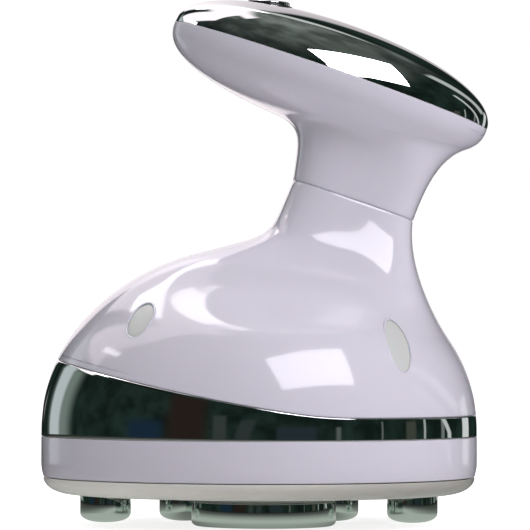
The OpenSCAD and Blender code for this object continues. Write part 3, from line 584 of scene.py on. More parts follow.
def makeBand():
    angles = around(band["sides"])
    tops = np.array([edgeHeight(a) for a in angles])
    foot, soft, wall = base["bandZ"] + band["gap"], band["soft"], band["wall"]
    part = soft * band["softBend"]

    def row(share, inset=0.0, lift=0.0):
        return rowAround(angles, foot + share * (tops - foot) + lift, inset)

    rings = [row(0, soft), row(0, part, part), row(0, 0, soft)]
    rings += [row(share) for share in np.linspace(0, 1, band["rows"])[1:-1]]
    rings += [row(1, 0, -soft), row(1, part, -part), row(1, soft)]
    rings += [row(1, wall), row(0.5, wall), row(0, wall)]
    return loft("mirrorBand", rings, closedRows=True)


dress(makeBand(), "body", "chrome_trim", "chrome_band")


# lower ring; swell is how far its outside draws in, and the height over the seat

lower = {"inner": 66.4, "edge": 0.25, "gap": 0.02, "foot": 0.3,
         "swell": ((0.42, 1.4), (0.2, 2.4), (0.06, 3.5), (0, 4.8)), "drawIn": 0.72,
         "socketRadius": 3.35, "socketFrom": 60, "socketDepth": 14, "sides": 256}


def makeLowerRing():
    r, seat, top = base["radius"], base["seatZ"], base["bandZ"] - lower["gap"]
    outline = [(r - lower["drawIn"], seat + lower["foot"], lower["edge"])]
    outline += [(r - inset, seat + up, 0) for inset, up in lower["swell"]]
    outline += [(r, top, lower["edge"]), (lower["inner"], top, 0), (lower["inner"], seat + lower["foot"], 0)]
    piece = revolve("lowerRing", roundedOutline(outline), lower["sides"])
    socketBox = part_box("power_socket")
    height = (socketBox[0][2] + socketBox[1][2]) / 2 / mm
    cutAway(piece, [barrel("cutter", (0, lower["socketFrom"], height), (0, 1, 0), lower["socketRadius"], 0,
                           lower["socketDepth"])])
    return sharpen(piece, 40)


dress(makeLowerRing(), "body", "white_shell", "lower_shell")


# light cover with its lip, the screws' places and the treatment heads

lightCover = {"inset": 0.7, "edge": 8.3, "wall": 2.0, "mouthRound": 0.2, "lip": (64.3, 66.0), "lipRise": 2.1,
              "shelfZ": 14.4, "floorRadius": 60.0, "cutFrom": 5, "cutTo": 20, "sides": 256,
              "screwBore": 3.2, "screwTop": 12.6, "screwCircle": 59, "screwAngles": (65, 115, 245, 295)}
probe = {"radius": 22.8, "neck": 20.6, "place": (1.5, -10.0), "corner": 1.9, "round": 0.35, "side": 3,
         "top": 17.4, "wall": 2, "seal": 2.0, "gap": 0.15,
         "sealGap": 0.1, "sealDrop": 0.02, "sealRounds": (0.1, 0.45, 0.3, 0.1)}
smallHead = {"radius": 8.1, "bulge": 3.3, "power": 2.37, "gasket": 0.8, "side": 4, "round": 0.35,
             "stud": 2, "studTop": 24.8, "studBore": 2.3, "firstAngle": 3, "rows": 22, "sides": 96,
             "places": {"electrode_left": (-49, 9), "electrode_right": (49, 9),
                        "electrode_rear_left": (-24, 20), "electrode_rear_right": (24, 20)}}
screwPlaces = [(lightCover["screwCircle"] * math.cos(math.radians(a)),
                lightCover["screwCircle"] * math.sin(math.radians(a))) for a in lightCover["screwAngles"]]


def makeLightCover():
    edgeRadius, seat, low = base["radius"] - lightCover["inset"], base["seatZ"], base["headZ"]
    edge, (lipInner, lipOuter) = lightCover["edge"], lightCover["lip"]
    outline = [(nearAxis, low)]
    for a in np.radians(np.arange(90, -1, -6)):
        outline.append((edgeRadius - edge + edge * math.cos(a), seat - (seat - low) * math.sin(a)))
    mouth, inwards = (edgeRadius, seat), (edgeRadius - 2, seat)
    outline[-1:] = roundCorner(outline[-2], mouth, inwards, lightCover["mouthRound"])
    lipTop, floorTop = seat + lightCover["lipRise"], low + lightCover["wall"]
    outline += [(lipOuter, seat), (lipOuter, lipTop), (lipInner, lipTop), (lipInner, lightCover["shelfZ"]),
                (lightCover["floorRadius"], floorTop), (nearAxis, floorTop)]
    piece = revolve("lightCover", outline, lightCover["sides"])

    def bore(place, radius, top=lightCover["cutTo"], sides=48):
        return barrel("cutter", (*place, 0), (0, 0, 1), radius, lightCover["cutFrom"], top, sides)

    cutters = [bore(place, lightCover["screwBore"], lightCover["screwTop"]) for place in screwPlaces]
    cutters.append(bore(probe["place"], probe["neck"] + probe["gap"], sides=128))
    cutters += [bore(place, smallHead["studBore"]) for place in smallHead["places"].values()]
    return sharpen(cutAway(piece, cutters), 40)


dress(makeLightCover(), "body", "warm_cover", "light_cover")


def makeProbe():
    r, n, c, wall, top = (probe[key] for key in ("radius", "neck", "corner", "wall", "top"))
    shoulderHeight = base["headZ"] - probe["seal"]
    outline = [(nearAxis, 0)]
    outline += [(r - c + c * math.sin(a), c - c * math.cos(a)) for a in np.linspace(0, math.pi / 2, 13)]
    outline += roundCorner((r, probe["side"]), (r, shoulderHeight), (n, shoulderHeight), probe["round"])
    outline += [(n, shoulderHeight), (n, top), (n - wall, top), (n - wall, wall), (nearAxis, wall)]
    return sharpen(revolve("largeHead", outline, centre=probe["place"]), 40)


dress(makeProbe(), "body", "chrome_heads", "probe_head")


def makeProbeSeal():
    inner, outer = probe["neck"] + probe["sealGap"], probe["radius"] - probe["sealGap"]
    low, high = base["headZ"] - probe["seal"], base["headZ"] - probe["sealDrop"]
    corners = ((inner, low), (outer, low), (outer, high), (inner, high))
    outline = roundedOutline([(*corner, soft) for corner, soft in zip(corners, probe["sealRounds"])])
    return revolve("headSeal", outline, 160, probe["place"])


dress(makeProbeSeal(), "body", "pale_seal", "probe_ring")


def makeSmallHead(name, place):
    r, top, power = smallHead["radius"], base["headZ"] - smallHead["gasket"], 2 / smallHead["power"]
    stud, studTop = smallHead["stud"], smallHead["studTop"]
    outline = [(nearAxis, 0)]
    outline += [(r * math.sin(a) ** power, smallHead["bulge"] * (1 - math.cos(a) ** power))
                for a in np.linspace(math.radians(smallHead["firstAngle"]), math.pi / 2, smallHead["rows"])]
    outline += roundCorner((r, smallHead["side"]), (r, top), (r - 2, top), smallHead["round"])
    outline += [(stud, top), (stud, studTop), (nearAxis, studTop)]
    return sharpen(revolve(name, outline, smallHead["sides"], place), 40)


def pieceName(start, node):
    return start + "".join(word.title() for word in node.split("_")[1:])


for node, place in smallHead["places"].items():
    dress(makeSmallHead(pieceName("smallHead", node), place), "body", "chrome_heads", node)
print("base made")


# light windows

def makeLens(name, azimuth, rise, roll, length):
    place, turn = windowFrame(azimuth, rise, roll)
    spokes, rounds, sunk, edgeFrom = (windows[key] for key in ("spokes", "rounds", "sunk", "edgeFrom"))
    outline = oval(length / 2 - windows["gap"], windows["width"] / 2 - windows["gap"], spokes)
    points = []
    for depth in (sunk, sunk + windows["thick"]):
        points.append(onDome(place, turn, 0, 0, depth))
        for share in [k / rounds for k in range(1, rounds + 1)]:
            past = max(0.0, (share - edgeFrom) / (1 - edgeFrom)) if depth == sunk else 0
            drop = windows["edgeDrop"] * past ** 2
            points += [onDome(place, turn, u * share, v * share, depth + drop) for u, v in outline]
    skin, last = 1 + rounds * spokes, 1 + (rounds - 1) * spokes
    faces = []
    for first, way in ((0, 1), (skin, -1)):
        for j in range(spokes):
            n = (j + 1) % spokes
            faces.append((first, first + 1 + j, first + 1 + n)[::way])
            for a in range(first + 1, first + last, spokes):
                b = a + spokes
                faces.append((a + j, b + j, b + n, a + n)[::way])
    for j in range(spokes):
        n = (j + 1) % spokes
        faces.append((last + j, skin + last + j, skin + last + n, last + n))
    return sharpen(tidyMesh(addMesh(name, points, faces)), 50)


def startTree(name, **inputs):
    # a Geometry Nodes tree, its input node's outputs, and the identifiers of its named inputs
    tree = bpy.data.node_groups.new(name, "GeometryNodeTree")
    tree.interface.new_socket("Geometry", in_out="INPUT", socket_type="NodeSocketGeometry")
    keys = {}
    for label, kind in inputs.items():
        socket = tree.interface.new_socket(label.replace("_", " "), in_out="INPUT", socket_type=kind)
        keys[label] = socket.identifier
    tree.interface.new_socket("Geometry", in_out="OUTPUT", socket_type="NodeSocketGeometry")
    return tree, tree.nodes.new("NodeGroupInput").outputs, keys


def runTree(piece, tree, geometry, finish, values):
    # ends the tree with Realize Instances and Set Material, and bakes its result into the piece
    realize = addNode(tree, "GeometryNodeRealizeInstances", Geometry=geometry)
    paint = addNode(tree, "GeometryNodeSetMaterial", Geometry=realize.outputs["Geometry"], Material=finish)
    addNode(tree, "NodeGroupOutput", Geometry=paint.outputs["Geometry"])
    maker = piece.modifiers.new("maker", "NODES")
    maker.node_group = tree
    for key, value in values.items():
        maker[key] = value
    return applyAll(piece)


def tubeAlong(name, loops, radius, finish):
    # Geometry Nodes: a round bead along each closed line
    points, edges = [], []
    for loop in loops:
        first, count = len(points), len(loop)
        points += loop
        edges += [(first + i, first + (i + 1) % count) for i in range(count)]
    piece = addMesh(name, points, edges=edges, smooth=False)
    tree, entry, keys = startTree(name + "Bead", Bead_radius="NodeSocketFloat")
    curve = addNode(tree, "GeometryNodeMeshToCurve", Mesh=entry["Geometry"])
    section = addNode(tree, "GeometryNodeCurvePrimitiveCircle", Resolution=12, Radius=entry["Bead radius"])
    sweep = addNode(tree, "GeometryNodeCurveToMesh", Curve=curve.outputs["Curve"],
                    Profile_Curve=section.outputs["Curve"])
    smooth = addNode(tree, "GeometryNodeSetShadeSmooth", Geometry=sweep.outputs["Mesh"])
    runTree(piece, tree, smooth.outputs["Geometry"], finish, {keys["Bead_radius"]: radius * mm})
    return tidyMesh(piece)


rimLoops = []
for name, (azimuth, rise, roll, length) in windowPlaces.items():
    lens = makeLens(pieceName("lens", name), azimuth, rise, roll, length)
    dress(lens, "body", "frosted_lens", name)
    place, turn = windowFrame(azimuth, rise, roll)
    outline = oval(length / 2 + windows["rimOut"], windows["width"] / 2 + windows["rimOut"])
    rimLoops.append([onDome(place, turn, u, v, windows["rim"] * windows["rimSunk"]) for u, v in outline])
dress(tubeAlong("windowRims", rimLoops, windows["rim"], finishes["white_shell"]), "body", "white_shell")
print("windows made")


# handle: u runs down the slope from the high tip, w is square to it

handle = {"length": 105.0, "width": 70.0, "topHeight": 17.0, "bottomHeight": 17.6, "rise": 35.6,
          "tipReach": 72.2, "bellyHigh": 106.0, "bellyLow": 23.0, "bellyPower": 0.8, "sidePower": 2.5,
          "flarePower": 2.2, "highPulls": ((-3, 14), (12, -0.6)), "lowPulls": ((0, 12), (-6.8, -5)),
          "seamRows": ((0.0, 0.45), (0.004, 0.12), (0.014, 0.0)),                # share of the way and inset
          "rimRows": ((-0.22, 0.02), (-0.1, 0.1), (-0.05, 0.3), (-0.05, 1.1)),   # height and inset
          "neckRows": 44, "bellyRows": 30, "bellyTo": 0.96, "bellyLast": (0.98, 0.992),
          "sides": 208, "wall": 2.2}
cover = {"crease": (0.80, 0.709), "flankBend": (0.952, 0.395), "fullness": 0.94, "creaseRound": 0.035,
         "flankTo": 0.9, "creaseFrom": 0.93, "creaseTo": 0.6, "flankRows": 14, "creaseRows": 8,
         "crownRows": 22, "sections": 150, "wall": 1.9, "bore": (-12, 6), "boreGap": 0.1}

tip = seamMid + handle["rise"] * offSlope - handle["tipReach"] * downSlope
halfLength = handle["length"] / 2


def fromHandle(u, w):
    return tip + u * downSlope + w * offSlope


def belly(degrees):
    b = math.radians(degrees)
    depth = handle["bottomHeight"] * max(0.0, math.sin(b)) ** handle["bellyPower"]
    return np.array([halfLength * (1 + math.cos(b)), -depth])


def neckSide(t, side, top, pulls):
    # from the seam, on its high side (-1) or its low one (1), to a place on the belly
    foot = np.array([handle["tipReach"] + side * neck["length"] / 2, -handle["rise"]])
    return bezier(foot, foot + pulls[0], belly(top) + pulls[1], belly(top), t)


def neckRing(t, width, inset=0.0):
    high = neckSide(t, -1, handle["bellyHigh"], handle["highPulls"])
    low = neckSide(t, 1, handle["bellyLow"], handle["lowPulls"])
    return handleRing(high, low, width, inset, squareAt(1 - t))


def bellyHalfWidth(w):
    share = min(1, abs(w) / handle["bottomHeight"])
    return handle["width"] / 2 * math.sqrt(max(0.0, 1 - share ** handle["sidePower"]))


def handleRing(a, b, halfWidth, inset=0.0, square=0.0):
    high, low = fromHandle(*a), fromHandle(*b)
    line = unit(low - high)
    return ringOf(high + inset * line, low - inset * line, halfWidth - inset, handle["sides"], square)


def makeHandleShell():
    bellyHigh, bellyLow, narrow = handle["bellyHigh"], handle["bellyLow"], neck["width"] / 2
    foot = bellyHalfWidth((belly(bellyHigh)[1] + belly(bellyLow)[1]) / 2)
    rings = [neckRing(t, narrow, inset) for t, inset in handle["seamRows"]]
    rings += [neckRing(t, narrow + (foot - narrow) * t ** handle["flarePower"])
              for t in np.linspace(handle["seamRows"][-1][0], 1, handle["neckRows"])[1:]]
    for t in [*np.linspace(0, handle["bellyTo"], handle["bellyRows"])[1:], *handle["bellyLast"]]:
        a, b = belly(bellyHigh + (180 - bellyHigh) * t), belly(bellyLow * (1 - t))
        rings.append(handleRing(a, b, bellyHalfWidth((a[1] + b[1]) / 2)))
    rings += [handleRing((0, w), (handle["length"], w), handle["width"] / 2, inset)
              for w, inset in handle["rimRows"]]
    return sharpen(addWall(loft("handleSkin", rings), handle["wall"]), 60)


dress(makeHandleShell(), "body", "white_shell", "handle_shell")


crownWidth = cover["crease"][0] / math.sqrt(1 - cover["crease"][1] ** 2)


def flank(t):
    return bend((1, 0), cover["flankBend"], cover["crease"], t)


def crown(k):
    return (k, math.sqrt(1 - (k / crownWidth) ** 2))


def spine(a):
    return max(0.0, math.sin(a)) ** cover["fullness"]


def coverProfile():
    # shares of half width and height, from the parting line over the crown to the other side
    creaseX, soft = cover["crease"][0], cover["creaseRound"]
    first, last = flank(cover["creaseFrom"]), crown(creaseX - soft * cover["creaseTo"])
    half = [flank(t) for t in np.linspace(0, cover["flankTo"], cover["flankRows"])]
    half += [bend(first, cover["crease"], last, t) for t in np.linspace(0, 1, cover["creaseRows"])]
    half += [crown(k) for k in np.linspace(creaseX - soft, 0, cover["crownRows"])]
    return half + [(-x, z) for x, z in half[-2::-1]]


button = {"radius": 6.2, "u": 27.0, "lean": 3.0, "up": 1.1, "edge": 0.5, "crown": 0.12, "stem": 2,
          "stemFoot": -7.1, "flange": 7, "flangeFoot": -6.2, "flangeTop": -5.0, "sides": 128}
guide = {"radius": 7.1, "bore": 6.4, "foot": -11.9, "side": 0.12, "rim": 0.3, "rimRound": 0.15,
         "stop": -4.6, "chamber": 7.2, "chamberTop": -4.8, "sides": 128}
buttonAngle = math.acos((button["u"] - halfLength) / halfLength)
crownHeight = handle["topHeight"] * spine(buttonAngle)
crownRise = (-handle["topHeight"] * cover["fullness"] * math.sin(buttonAngle) ** (cover["fullness"] - 2)
             * math.cos(buttonAngle) / halfLength)
spot = fromHandle(button["u"], crownHeight)
buttonSpot = (spot[0], 0, spot[1])
lean = math.radians(button["lean"])
buttonAxis = (math.sin(lean), 0, math.cos(lean))
crownSlope = tilt - math.atan(crownRise) - lean


def makeCover():
    profile, sections, points = coverProfile(), cover["sections"], []
    for i in range(sections + 1):
        a = math.pi * i / sections
        for q, h in profile:
            p = fromHandle(halfLength + halfLength * math.cos(a), h * handle["topHeight"] * spine(a))
            points.append((p[0], q * handle["width"] / 2 * math.sin(a), p[1]))
    piece = addMesh("mirrorCover", points, gridFaces(sections + 1, len(profile), closedColumns=False))
    addWall(tidyMesh(piece, 0.01), cover["wall"])
    bore = barrel("cutter", buttonSpot, buttonAxis, guide["radius"] + cover["boreGap"], *cover["bore"], 128)
    return sharpen(cutAway(piece, [bore]), 45)


dress(makeCover(), "body", "chrome_trim", "handle_cover")
print("handle made")


def standOnButton(piece):
    piece.data.transform(Matrix.Translation(Vector(buttonSpot) * mm) @ Matrix.Rotation(lean, 4, "Y"))
    return piece


def makeGuide():
    # dark sleeve round the button; its top follows the slope of the cover
    slope, outer, inner, soft = math.tan(crownSlope), guide["radius"], guide["bore"], guide["rimRound"]
    loops = [(outer, guide["foot"], 0), (outer, guide["side"], 1), (outer - soft, guide["rim"], 1),
             (inner + soft, guide["rim"], 1), (inner, soft, 1), (inner, guide["stop"], 0),
             (guide["chamber"], guide["chamberTop"], 0), (guide["chamber"], guide["foot"], 0)]
    rings = [[(u, v, h - sloped * slope * u) for u, v in oval(r, r, guide["sides"])]
             for r, h, sloped in loops]
    return standOnButton(sharpen(loft("buttonGuide", rings, closedRows=True), 40))


def makeButton():
    r, up, edge, drop = button["radius"], button["up"], button["edge"], button["crown"]
    stem, flange, flangeFoot = button["stem"], button["flange"], button["flangeFoot"]
    outline = [(nearAxis, button["stemFoot"]), (stem, button["stemFoot"]), (stem, flangeFoot),
               (flange, flangeFoot), (flange, button["flangeTop"]), (r, button["flangeTop"])]
    outline += [(r - edge + edge * math.cos(a), up - drop - edge + edge * math.sin(a))
                for a in np.linspace(0, math.pi / 2, 8)]
    outline += [(x, up - drop * (x / (r - edge)) ** 2) for x in np.linspace(r - edge, nearAxis, 14)[1:]]
    return standOnButton(sharpen(revolve("pushButton", outline, button["sides"]), 45))


dress(makeGuide(), "body", "black_plastic", "button_guide")
dress(makeButton(), "button", "button_metal", "power_button")


# the four screws in the light cover: a cross-recessed head on each point

screw = {"radius": 2.8, "height": 1.9, "shank": 1.5, "length": 17.9, "slot": 0.7, "reach": 1.75, "deep": 1.0,
         "headRound": 0.5, "seatRound": 0.1, "tipRound": 0.3, "sides": 40}


def makeScrewShape():
    r, height, shank, length = screw["radius"], screw["height"], screw["shank"], screw["length"]
    outline = [(nearAxis, -height, 0), (r, -height, screw["headRound"]), (r, 0, screw["seatRound"]),
               (shank, 0, 0), (shank, length, screw["tipRound"]), (nearAxis, length, 0)]
    piece = revolve("screwShape", roundedOutline(outline), screw["sides"])
    half, reach = screw["slot"] / 2, screw["reach"]
    cutters = []
    for x, y in ((reach, half), (half, reach)):
        corners = ((-x, -y), (x, -y), (x, y), (-x, y))
        low, high = ([(*corner, z) for corner in corners] for z in (-height - 1, -height + screw["deep"]))
        cutters.append(addPrism("cutter", low, high, smooth=False))
    return sharpen(cutAway(piece, cutters), 35)


def placeCopies(name, shape, places, finish):
    # Geometry Nodes: one copy of a shape on each point
    piece = addMesh(name, places, smooth=False)
    tree, entry, keys = startTree(name + "Copies", Shape="NodeSocketObject", Size="NodeSocketFloat")
    info = addNode(tree, "GeometryNodeObjectInfo", Object=entry["Shape"])
    put = addNode(tree, "GeometryNodeInstanceOnPoints", Points=entry["Geometry"], Scale=entry["Size"],
                  Instance=info.outputs["Geometry"])
    runTree(piece, tree, put.outputs["Instances"], finish, {keys["Shape"]: shape, keys["Size"]: 1.0})
    bpy.data.objects.remove(shape)
    return piece


screwSeats = [(x, y, lightCover["screwTop"]) for x, y in screwPlaces]
dress(placeCopies("coverScrews", makeScrewShape(), screwSeats, finishes["screw_steel"]),
      "body", "screw_steel", "shell_screws")
print("screws made")


# studio, in metres: a pale floor, soft lights and the camera where the photographer's was

studio = {"cameraPlace": (0, -1.190, 0.0596), "aim": (0.00175, 0, 0.0821), "lens": 254.62, "sensor": 36,
          "clip": (0.05, 50), "roll": 0.13, "ambient": 0.34, "sweep": 1.02, "lightCentre": (0, 0, 0.08)}
# bright metal mirrors a pale pool round the object, with painted shadow under the object and painted light
# round it, a lit sweep behind it and past them the room
floor = {"size": 6000, "drop": 0.05, "colour": (0.79, 0.79, 0.795), "roughness": 0.8, "glow": 0.80,
         "tint": (0.98, 1.05, 0.96), "end": (0.38, 0.42),
         "pool": ((0.0, 0.16), (0.026, 0.16), (0.034, 0.36), (0.045, 0.44), (0.060, 0.43), (0.072, 0.33),
                  (0.090, 0.26), (0.105, 0.20), (0.125, 0.13), (0.16, 0.08), (0.25, 0.05), (0.30, 0.014)),
         "sweepSlant": (0.15, 0.25), "sweepFrom": (0.12, 0.24), "sweepGlow": (1.25, 1.15, 1.18, 1)}


def makeFloor():
    s, z = floor["size"], -floor["drop"]
    corners = [(-s, -s, z), (s, -s, z), (s, s, z), (-s, s, z)]
    piece = addMesh("paleFloor", corners, [(0, 1, 2, 3)], smooth=False)
    finish, tree, shader = newFinish("floorPaint", floor["colour"], floor["roughness"],
                                     Specular_IOR_Level=0.0, Emission_Color=(1, 1, 1, 1))
    path = tree.nodes.new("ShaderNodeLightPath").outputs
    setInputs(tree, shader, Emission_Strength=times(tree, path["Is Camera Ray"], floor["glow"]))
    place = objectPlace(tree)
    length = addNode(tree, "ShaderNodeVectorMath", Vector=place)
    length.operation = "LENGTH"
    away = length.outputs["Value"]
    x, y, _ = splitPlace(tree, place)
    slant = addMath(tree, "DIVIDE", addMath(tree, "ABSOLUTE", x), y)
    ahead = times(tree, addFade(tree, slant, *floor["sweepSlant"], 1.0, 0.0),
                  addFade(tree, y, *floor["sweepFrom"]))
    # painted shadow and light on the floor as mirrors see it: dark under the object, bright in a ring round
    # it, fading further out
    paintedPoolTone = addRamp(tree, away, [(d, [c * grey for c in floor["tint"]]) for d, grey in floor["pool"]])
    blend = tree.nodes.new("ShaderNodeMix")
    blend.data_type = "RGBA"
    setInputs(tree, blend, Factor=ahead, A=paintedPoolTone, B=floor["sweepGlow"])
    pool = addNode(tree, "ShaderNodeEmission", Color=blend.outputs["Result"])
    clear = tree.nodes.new("ShaderNodeBsdfTransparent").outputs["BSDF"]
    past = times(tree, addFade(tree, away, *floor["end"]), addMath(tree, "SUBTRACT", 1.0, ahead))
    mirrored = mixShaders(tree, past, pool.outputs["Emission"], clear)
    surface = mixShaders(tree, path["Is Glossy Ray"], shader.outputs["BSDF"], mirrored)
    setInputs(tree, tree.nodes["Material Output"], Surface=surface)
    piece.data.materials.append(finish)


def makeCamera():
    cam = bpy.data.cameras.new("camera")
    cam.lens, cam.sensor_width = studio["lens"], studio["sensor"]
    cam.clip_start, cam.clip_end = studio["clip"]
    holder = bpy.data.objects.new("camera", cam)
    bpy.context.scene.collection.objects.link(holder)
    place, aim = Vector(studio["cameraPlace"]), Vector(studio["aim"])
    look = (aim - place).to_track_quat("-Z", "Y").to_matrix().to_4x4()
    roll = Matrix.Rotation(math.radians(studio["roll"]), 4, "Z")
    holder.matrix_world = Matrix.Translation(place) @ look @ roll
    bpy.context.scene.camera = holder


# direction points from the object to the light; brightness is what a mirror would see
softboxes = {
    "keySoftbox": {"direction": (0.42, -0.62, 0.67), "distance": 1.3, "width": 0.90, "height": 0.57,
                   "brightness": 5.3, "colour": (1.0, 0.965, 1.05)},
    "highSideSoftbox": {"direction": (-0.50, 0.45, 0.74), "distance": 1.5, "width": 1.3, "height": 1.0,
                        "brightness": 1.8, "colour": (1.0, 0.97, 1.02), "mirrored": False},
    "lowSideFill": {"direction": (0.97, -0.10, 0.25), "distance": 1.5, "width": 0.8, "height": 0.8,
                    "brightness": 2.2, "colour": (1.0, 0.965, 1.04), "mirrored": False}}


def makeSoftbox(name, direction, distance, width, height, brightness, colour, mirrored=True):
    light = bpy.data.lights.new(name, "AREA")
    light.shape = "RECTANGLE"
    light.size, light.size_y = width, height
    light.energy = brightness * math.pi * width * height
    light.color = colour
    holder = bpy.data.objects.new(name, light)
    bpy.context.scene.collection.objects.link(holder)
    towards = Vector(direction).normalized()
    holder.location = Vector(studio["lightCentre"]) + towards * distance
    holder.rotation_mode = "QUATERNION"
    holder.rotation_quaternion = (-towards).to_track_quat("-Z", "Y")
    holder.visible_camera = False
    holder.visible_glossy = mirrored


# the dark room that bright metal mirrors: its walls from below to overhead, and the soft light on the rest
room = {"walls": ((0.0, (0.30, 0.31, 0.30)), (0.45, (0.03, 0.04, 0.036)), (0.49, (0.010, 0.020, 0.016)),
                  (0.71, (0.010, 0.018, 0.015)), (0.735, (0.016, 0.022, 0.019)),
                  (0.778, (0.044, 0.053, 0.048)), (0.817, (0.056, 0.067, 0.061)),
                  (0.856, (0.078, 0.092, 0.083)), (0.90, (0.095, 0.112, 0.101)),
                  (0.944, (0.142, 0.160, 0.149)), (1.0, (0.142, 0.160, 0.149))),
        "soft": ((0.0, (0.3, 0.3, 0.3)), (0.5, (0.06, 0.065, 0.062)), (0.67, (0.5, 0.51, 0.50)),
                 (0.85, (1.6, 1.61, 1.59)), (1.0, (2.0, 2.01, 1.98))),
        "clutter": 5, "clutterFrom": (0.32, 0.72), "clutterTo": (0.55, 1.5)}
# shapes in it: turn from straight behind towards the high side, height above the horizon, both in degrees,
# lean of the sides, softness of the edges and brightness
roomShapes = [
    {"turn": (108, 128), "rise": (-10, 7), "soft": 4, "glow": (0.010, 0.022, 0.040)},
    {"turn": (131, 152), "rise": (-10, 30), "soft": 4, "glow": (0.020, 0.014, 0.012)},
    {"turn": (156, 163), "rise": (-10, 12), "soft": 1.2, "glow": (0.034, 0.044, 0.040)},
    {"turn": (168, 176), "rise": (-10, 9), "lean": 0.3, "soft": 1.5, "glow": (0.026, 0.036, 0.034)},
    {"turn": (-171, -150), "rise": (-10, 4), "soft": 1.5, "glow": (0.018, 0.027, 0.032)},
    {"turn": (-139.5, -137), "rise": (-10, 3.5), "soft": 1, "glow": (0.090, 0.105, 0.100)},
    {"turn": (-113.2, -112.2), "rise": (-10, 6), "soft": 0.6, "glow": (0.12, 0.14, 0.13)},
    {"turn": (-97, -90), "rise": (-10, 5), "soft": 1.2, "glow": (0.050, 0.056, 0.044)},
    {"turn": (34, 60), "rise": (-16, 24), "soft": 6, "glow": (0.17, 0.21, 0.19)},
    {"turn": (35, 49), "rise": (-16, 24), "soft": 2.2, "glow": (0.48, 0.53, 0.54)},
    {"turn": (-45, -35), "rise": (-10, 7), "soft": 0.8, "glow": (0.62, 0.65, 0.64)},
    {"turn": (-69, -66), "rise": (-10, 5), "soft": 0.8, "glow": (0.16, 0.18, 0.17)},
    {"turn": (-84, -82.4), "rise": (-10, 8), "soft": 0.5, "glow": (0.35, 0.38, 0.36)},
    {"turn": (-49, -41), "rise": (5, 42), "lean": -1.07, "soft": 1.6, "glow": (0.47, 0.50, 0.48)},
    {"turn": (-64.4, -60.6), "rise": (-10, 24), "lean": -1, "soft": 0.7, "glow": (0.50, 0.53, 0.52)},
    {"turn": (-158, -112), "rise": (38, 62), "soft": 8, "glow": (0.088, 0.104, 0.092)},
    {"turn": (-88, -52), "rise": (51, 59), "soft": 3, "glow": (0.125, 0.148, 0.142)},
    {"turn": (-62, 8), "rise": (61, 82), "soft": 3, "glow": (0.56, 0.59, 0.57)}]
# the white wall behind the high side, and how its level changes with turn and height
wall = {"turn": (-15.2, 93), "lean": 0.27, "rise": (2, 79), "turnSoft": 1.5, "riseSoft": 3, "cutSoft": 1,
        "colour": (1.0, 0.925, 0.965), "level": (0.54, 1.1), "levelTurn": (-8, 8), "plain": 1.2,
        "plainTurn": (20, 26), "extra": 0.85, "extraTurn": (6, 16), "extraRise": (16, 38)}
wallGap = {"turn": (8.8, 17.8), "lean": 0.867, "turnSoft": 1.2, "top": 56, "topSoft": 4}
# parts cut from it, past a turn and under a height that may rise with the turn
wallCuts = [{"from": 67.5, "top": -13.7, "tilt": 0.7, "soft": 1.5},
            {"from": 20.5, "top": 25.2, "tilt": 0, "soft": 1},
            {"from": 94, "top": 72, "tilt": 0, "soft": 2}]
# small bright panes in it, which the glossy shell shows as streaks
paneTint, paneSoft = (1.0, 0.95, 0.98), (1, 0.8)
panes = [{"turn": (36, 53.5), "rise": (42, 58.5), "tilt": 0, "glow": 4.6},
         {"turn": (16, 38), "rise": (58.5, 71), "tilt": 0, "glow": 4.4},
         {"turn": (20, 36.5), "rise": (51, 61), "tilt": 0, "glow": 4.6},
         {"turn": (8, 30), "rise": (71, 80), "tilt": 0, "glow": 2.6},
         {"turn": (61, 77), "rise": (16.4, 18.6), "tilt": 0.24, "glow": 4.6}]


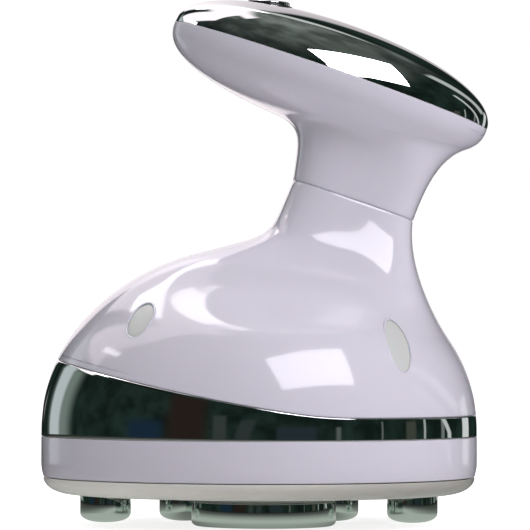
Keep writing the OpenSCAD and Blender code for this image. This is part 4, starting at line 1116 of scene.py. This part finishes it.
def makeRoom():
    # bright metal mirrors the dark room; everything else stands in soft white light
    world = bpy.data.worlds.new("room")
    bpy.context.scene.world = world
    world.use_nodes = True
    tree = world.node_tree
    tree.nodes.clear()
    place = tree.nodes.new("ShaderNodeTexCoord").outputs["Generated"]
    x, y, z = splitPlace(tree, place)
    turn = times(tree, addMath(tree, "ARCTAN2", times(tree, x, -1.0), y), math.degrees(1))
    rise = times(tree, addMath(tree, "ARCSINE", z), math.degrees(1))
    height = addFade(tree, rise, -90, 90, kind="LINEAR")

    def above(value, edge, soft):
        return addFade(tree, value, edge - soft, edge + soft)

    def below(value, edge, soft):
        return addFade(tree, value, edge - soft, edge + soft, 1.0, 0.0)

    def within(value, span, soft):
        return times(tree, above(value, span[0], soft), below(value, span[1], soft))

    def leaning(value, other, amount):
        return addMath(tree, "SUBTRACT", value, times(tree, other, float(amount))) if amount else value

    def outside(hole):
        return addMath(tree, "SUBTRACT", 1.0, hole)

    def glow(colour, strength=1.0):
        return addNode(tree, "ShaderNodeBackground", Color=colour, Strength=strength).outputs["Background"]

    clutter = addFade(tree, addNoise(tree, room["clutter"], 4, place=place), *room["clutterFrom"],
                      *room["clutterTo"])
    view = glow(addRamp(tree, height, room["walls"]), clutter)
    for shape in roomShapes:
        sides = within(leaning(turn, rise, shape.get("lean", 0)), shape["turn"], shape["soft"])
        mask = times(tree, sides, within(rise, shape["rise"], shape["soft"]))
        view = mixShaders(tree, mask, view, glow((*shape["glow"], 1)))

    area = times(tree, within(leaning(turn, rise, wall["lean"]), wall["turn"], wall["turnSoft"]),
                 within(rise, wall["rise"], wall["riseSoft"]))
    gap = times(tree, within(leaning(turn, rise, wallGap["lean"]), wallGap["turn"], wallGap["turnSoft"]),
                below(rise, wallGap["top"], wallGap["topSoft"]))
    holes = [gap]
    for cut in wallCuts:
        under = below(leaning(rise, turn, cut["tilt"]), cut["top"], cut["soft"])
        holes.append(times(tree, above(turn, cut["from"], wall["cutSoft"]), under))
    for hole in holes:
        area = times(tree, area, outside(hole))
    extra = times(tree, addFade(tree, turn, *wall["extraTurn"]),
                  addFade(tree, rise, *wall["extraRise"], 0.0, wall["extra"]))
    lit = times(tree, addMath(tree, "ADD", 1.0, extra),
                addFade(tree, turn, *wall["levelTurn"], *wall["level"]))
    lit = times(tree, lit, addFade(tree, turn, *wall["plainTurn"], 1.0, 0.0))
    level = addMath(tree, "ADD", lit, addFade(tree, turn, *wall["plainTurn"], 0.0, wall["plain"]))
    view = mixShaders(tree, area, view, glow((*wall["colour"], 1), level))
    for pane in panes:
        mask = times(tree, within(turn, pane["turn"], paneSoft[0]),
                     within(leaning(rise, turn, pane["tilt"]), pane["rise"], paneSoft[1]))
        colour = [pane["glow"] * c for c in paneTint]
        view = mixShaders(tree, times(tree, mask, outside(gap)), view, glow((*colour, 1)))

    soft = glow(addRamp(tree, height, room["soft"]), studio["ambient"])
    sweep = glow((1, 1, 1, 1), studio["sweep"])         # what the camera sees behind the object
    path = tree.nodes.new("ShaderNodeLightPath").outputs
    lighting = mixShaders(tree, path["Is Glossy Ray"], soft, view)
    addNode(tree, "ShaderNodeOutputWorld", Surface=mixShaders(tree, path["Is Camera Ray"], lighting, sweep))


makeFloor()
makeCamera()
makeRoom()
for name, sizes in softboxes.items():
    makeSoftbox(name, **sizes)
bpy.context.scene.view_settings.view_transform = "Standard"
bpy.context.view_layer.update()
print("studio set")
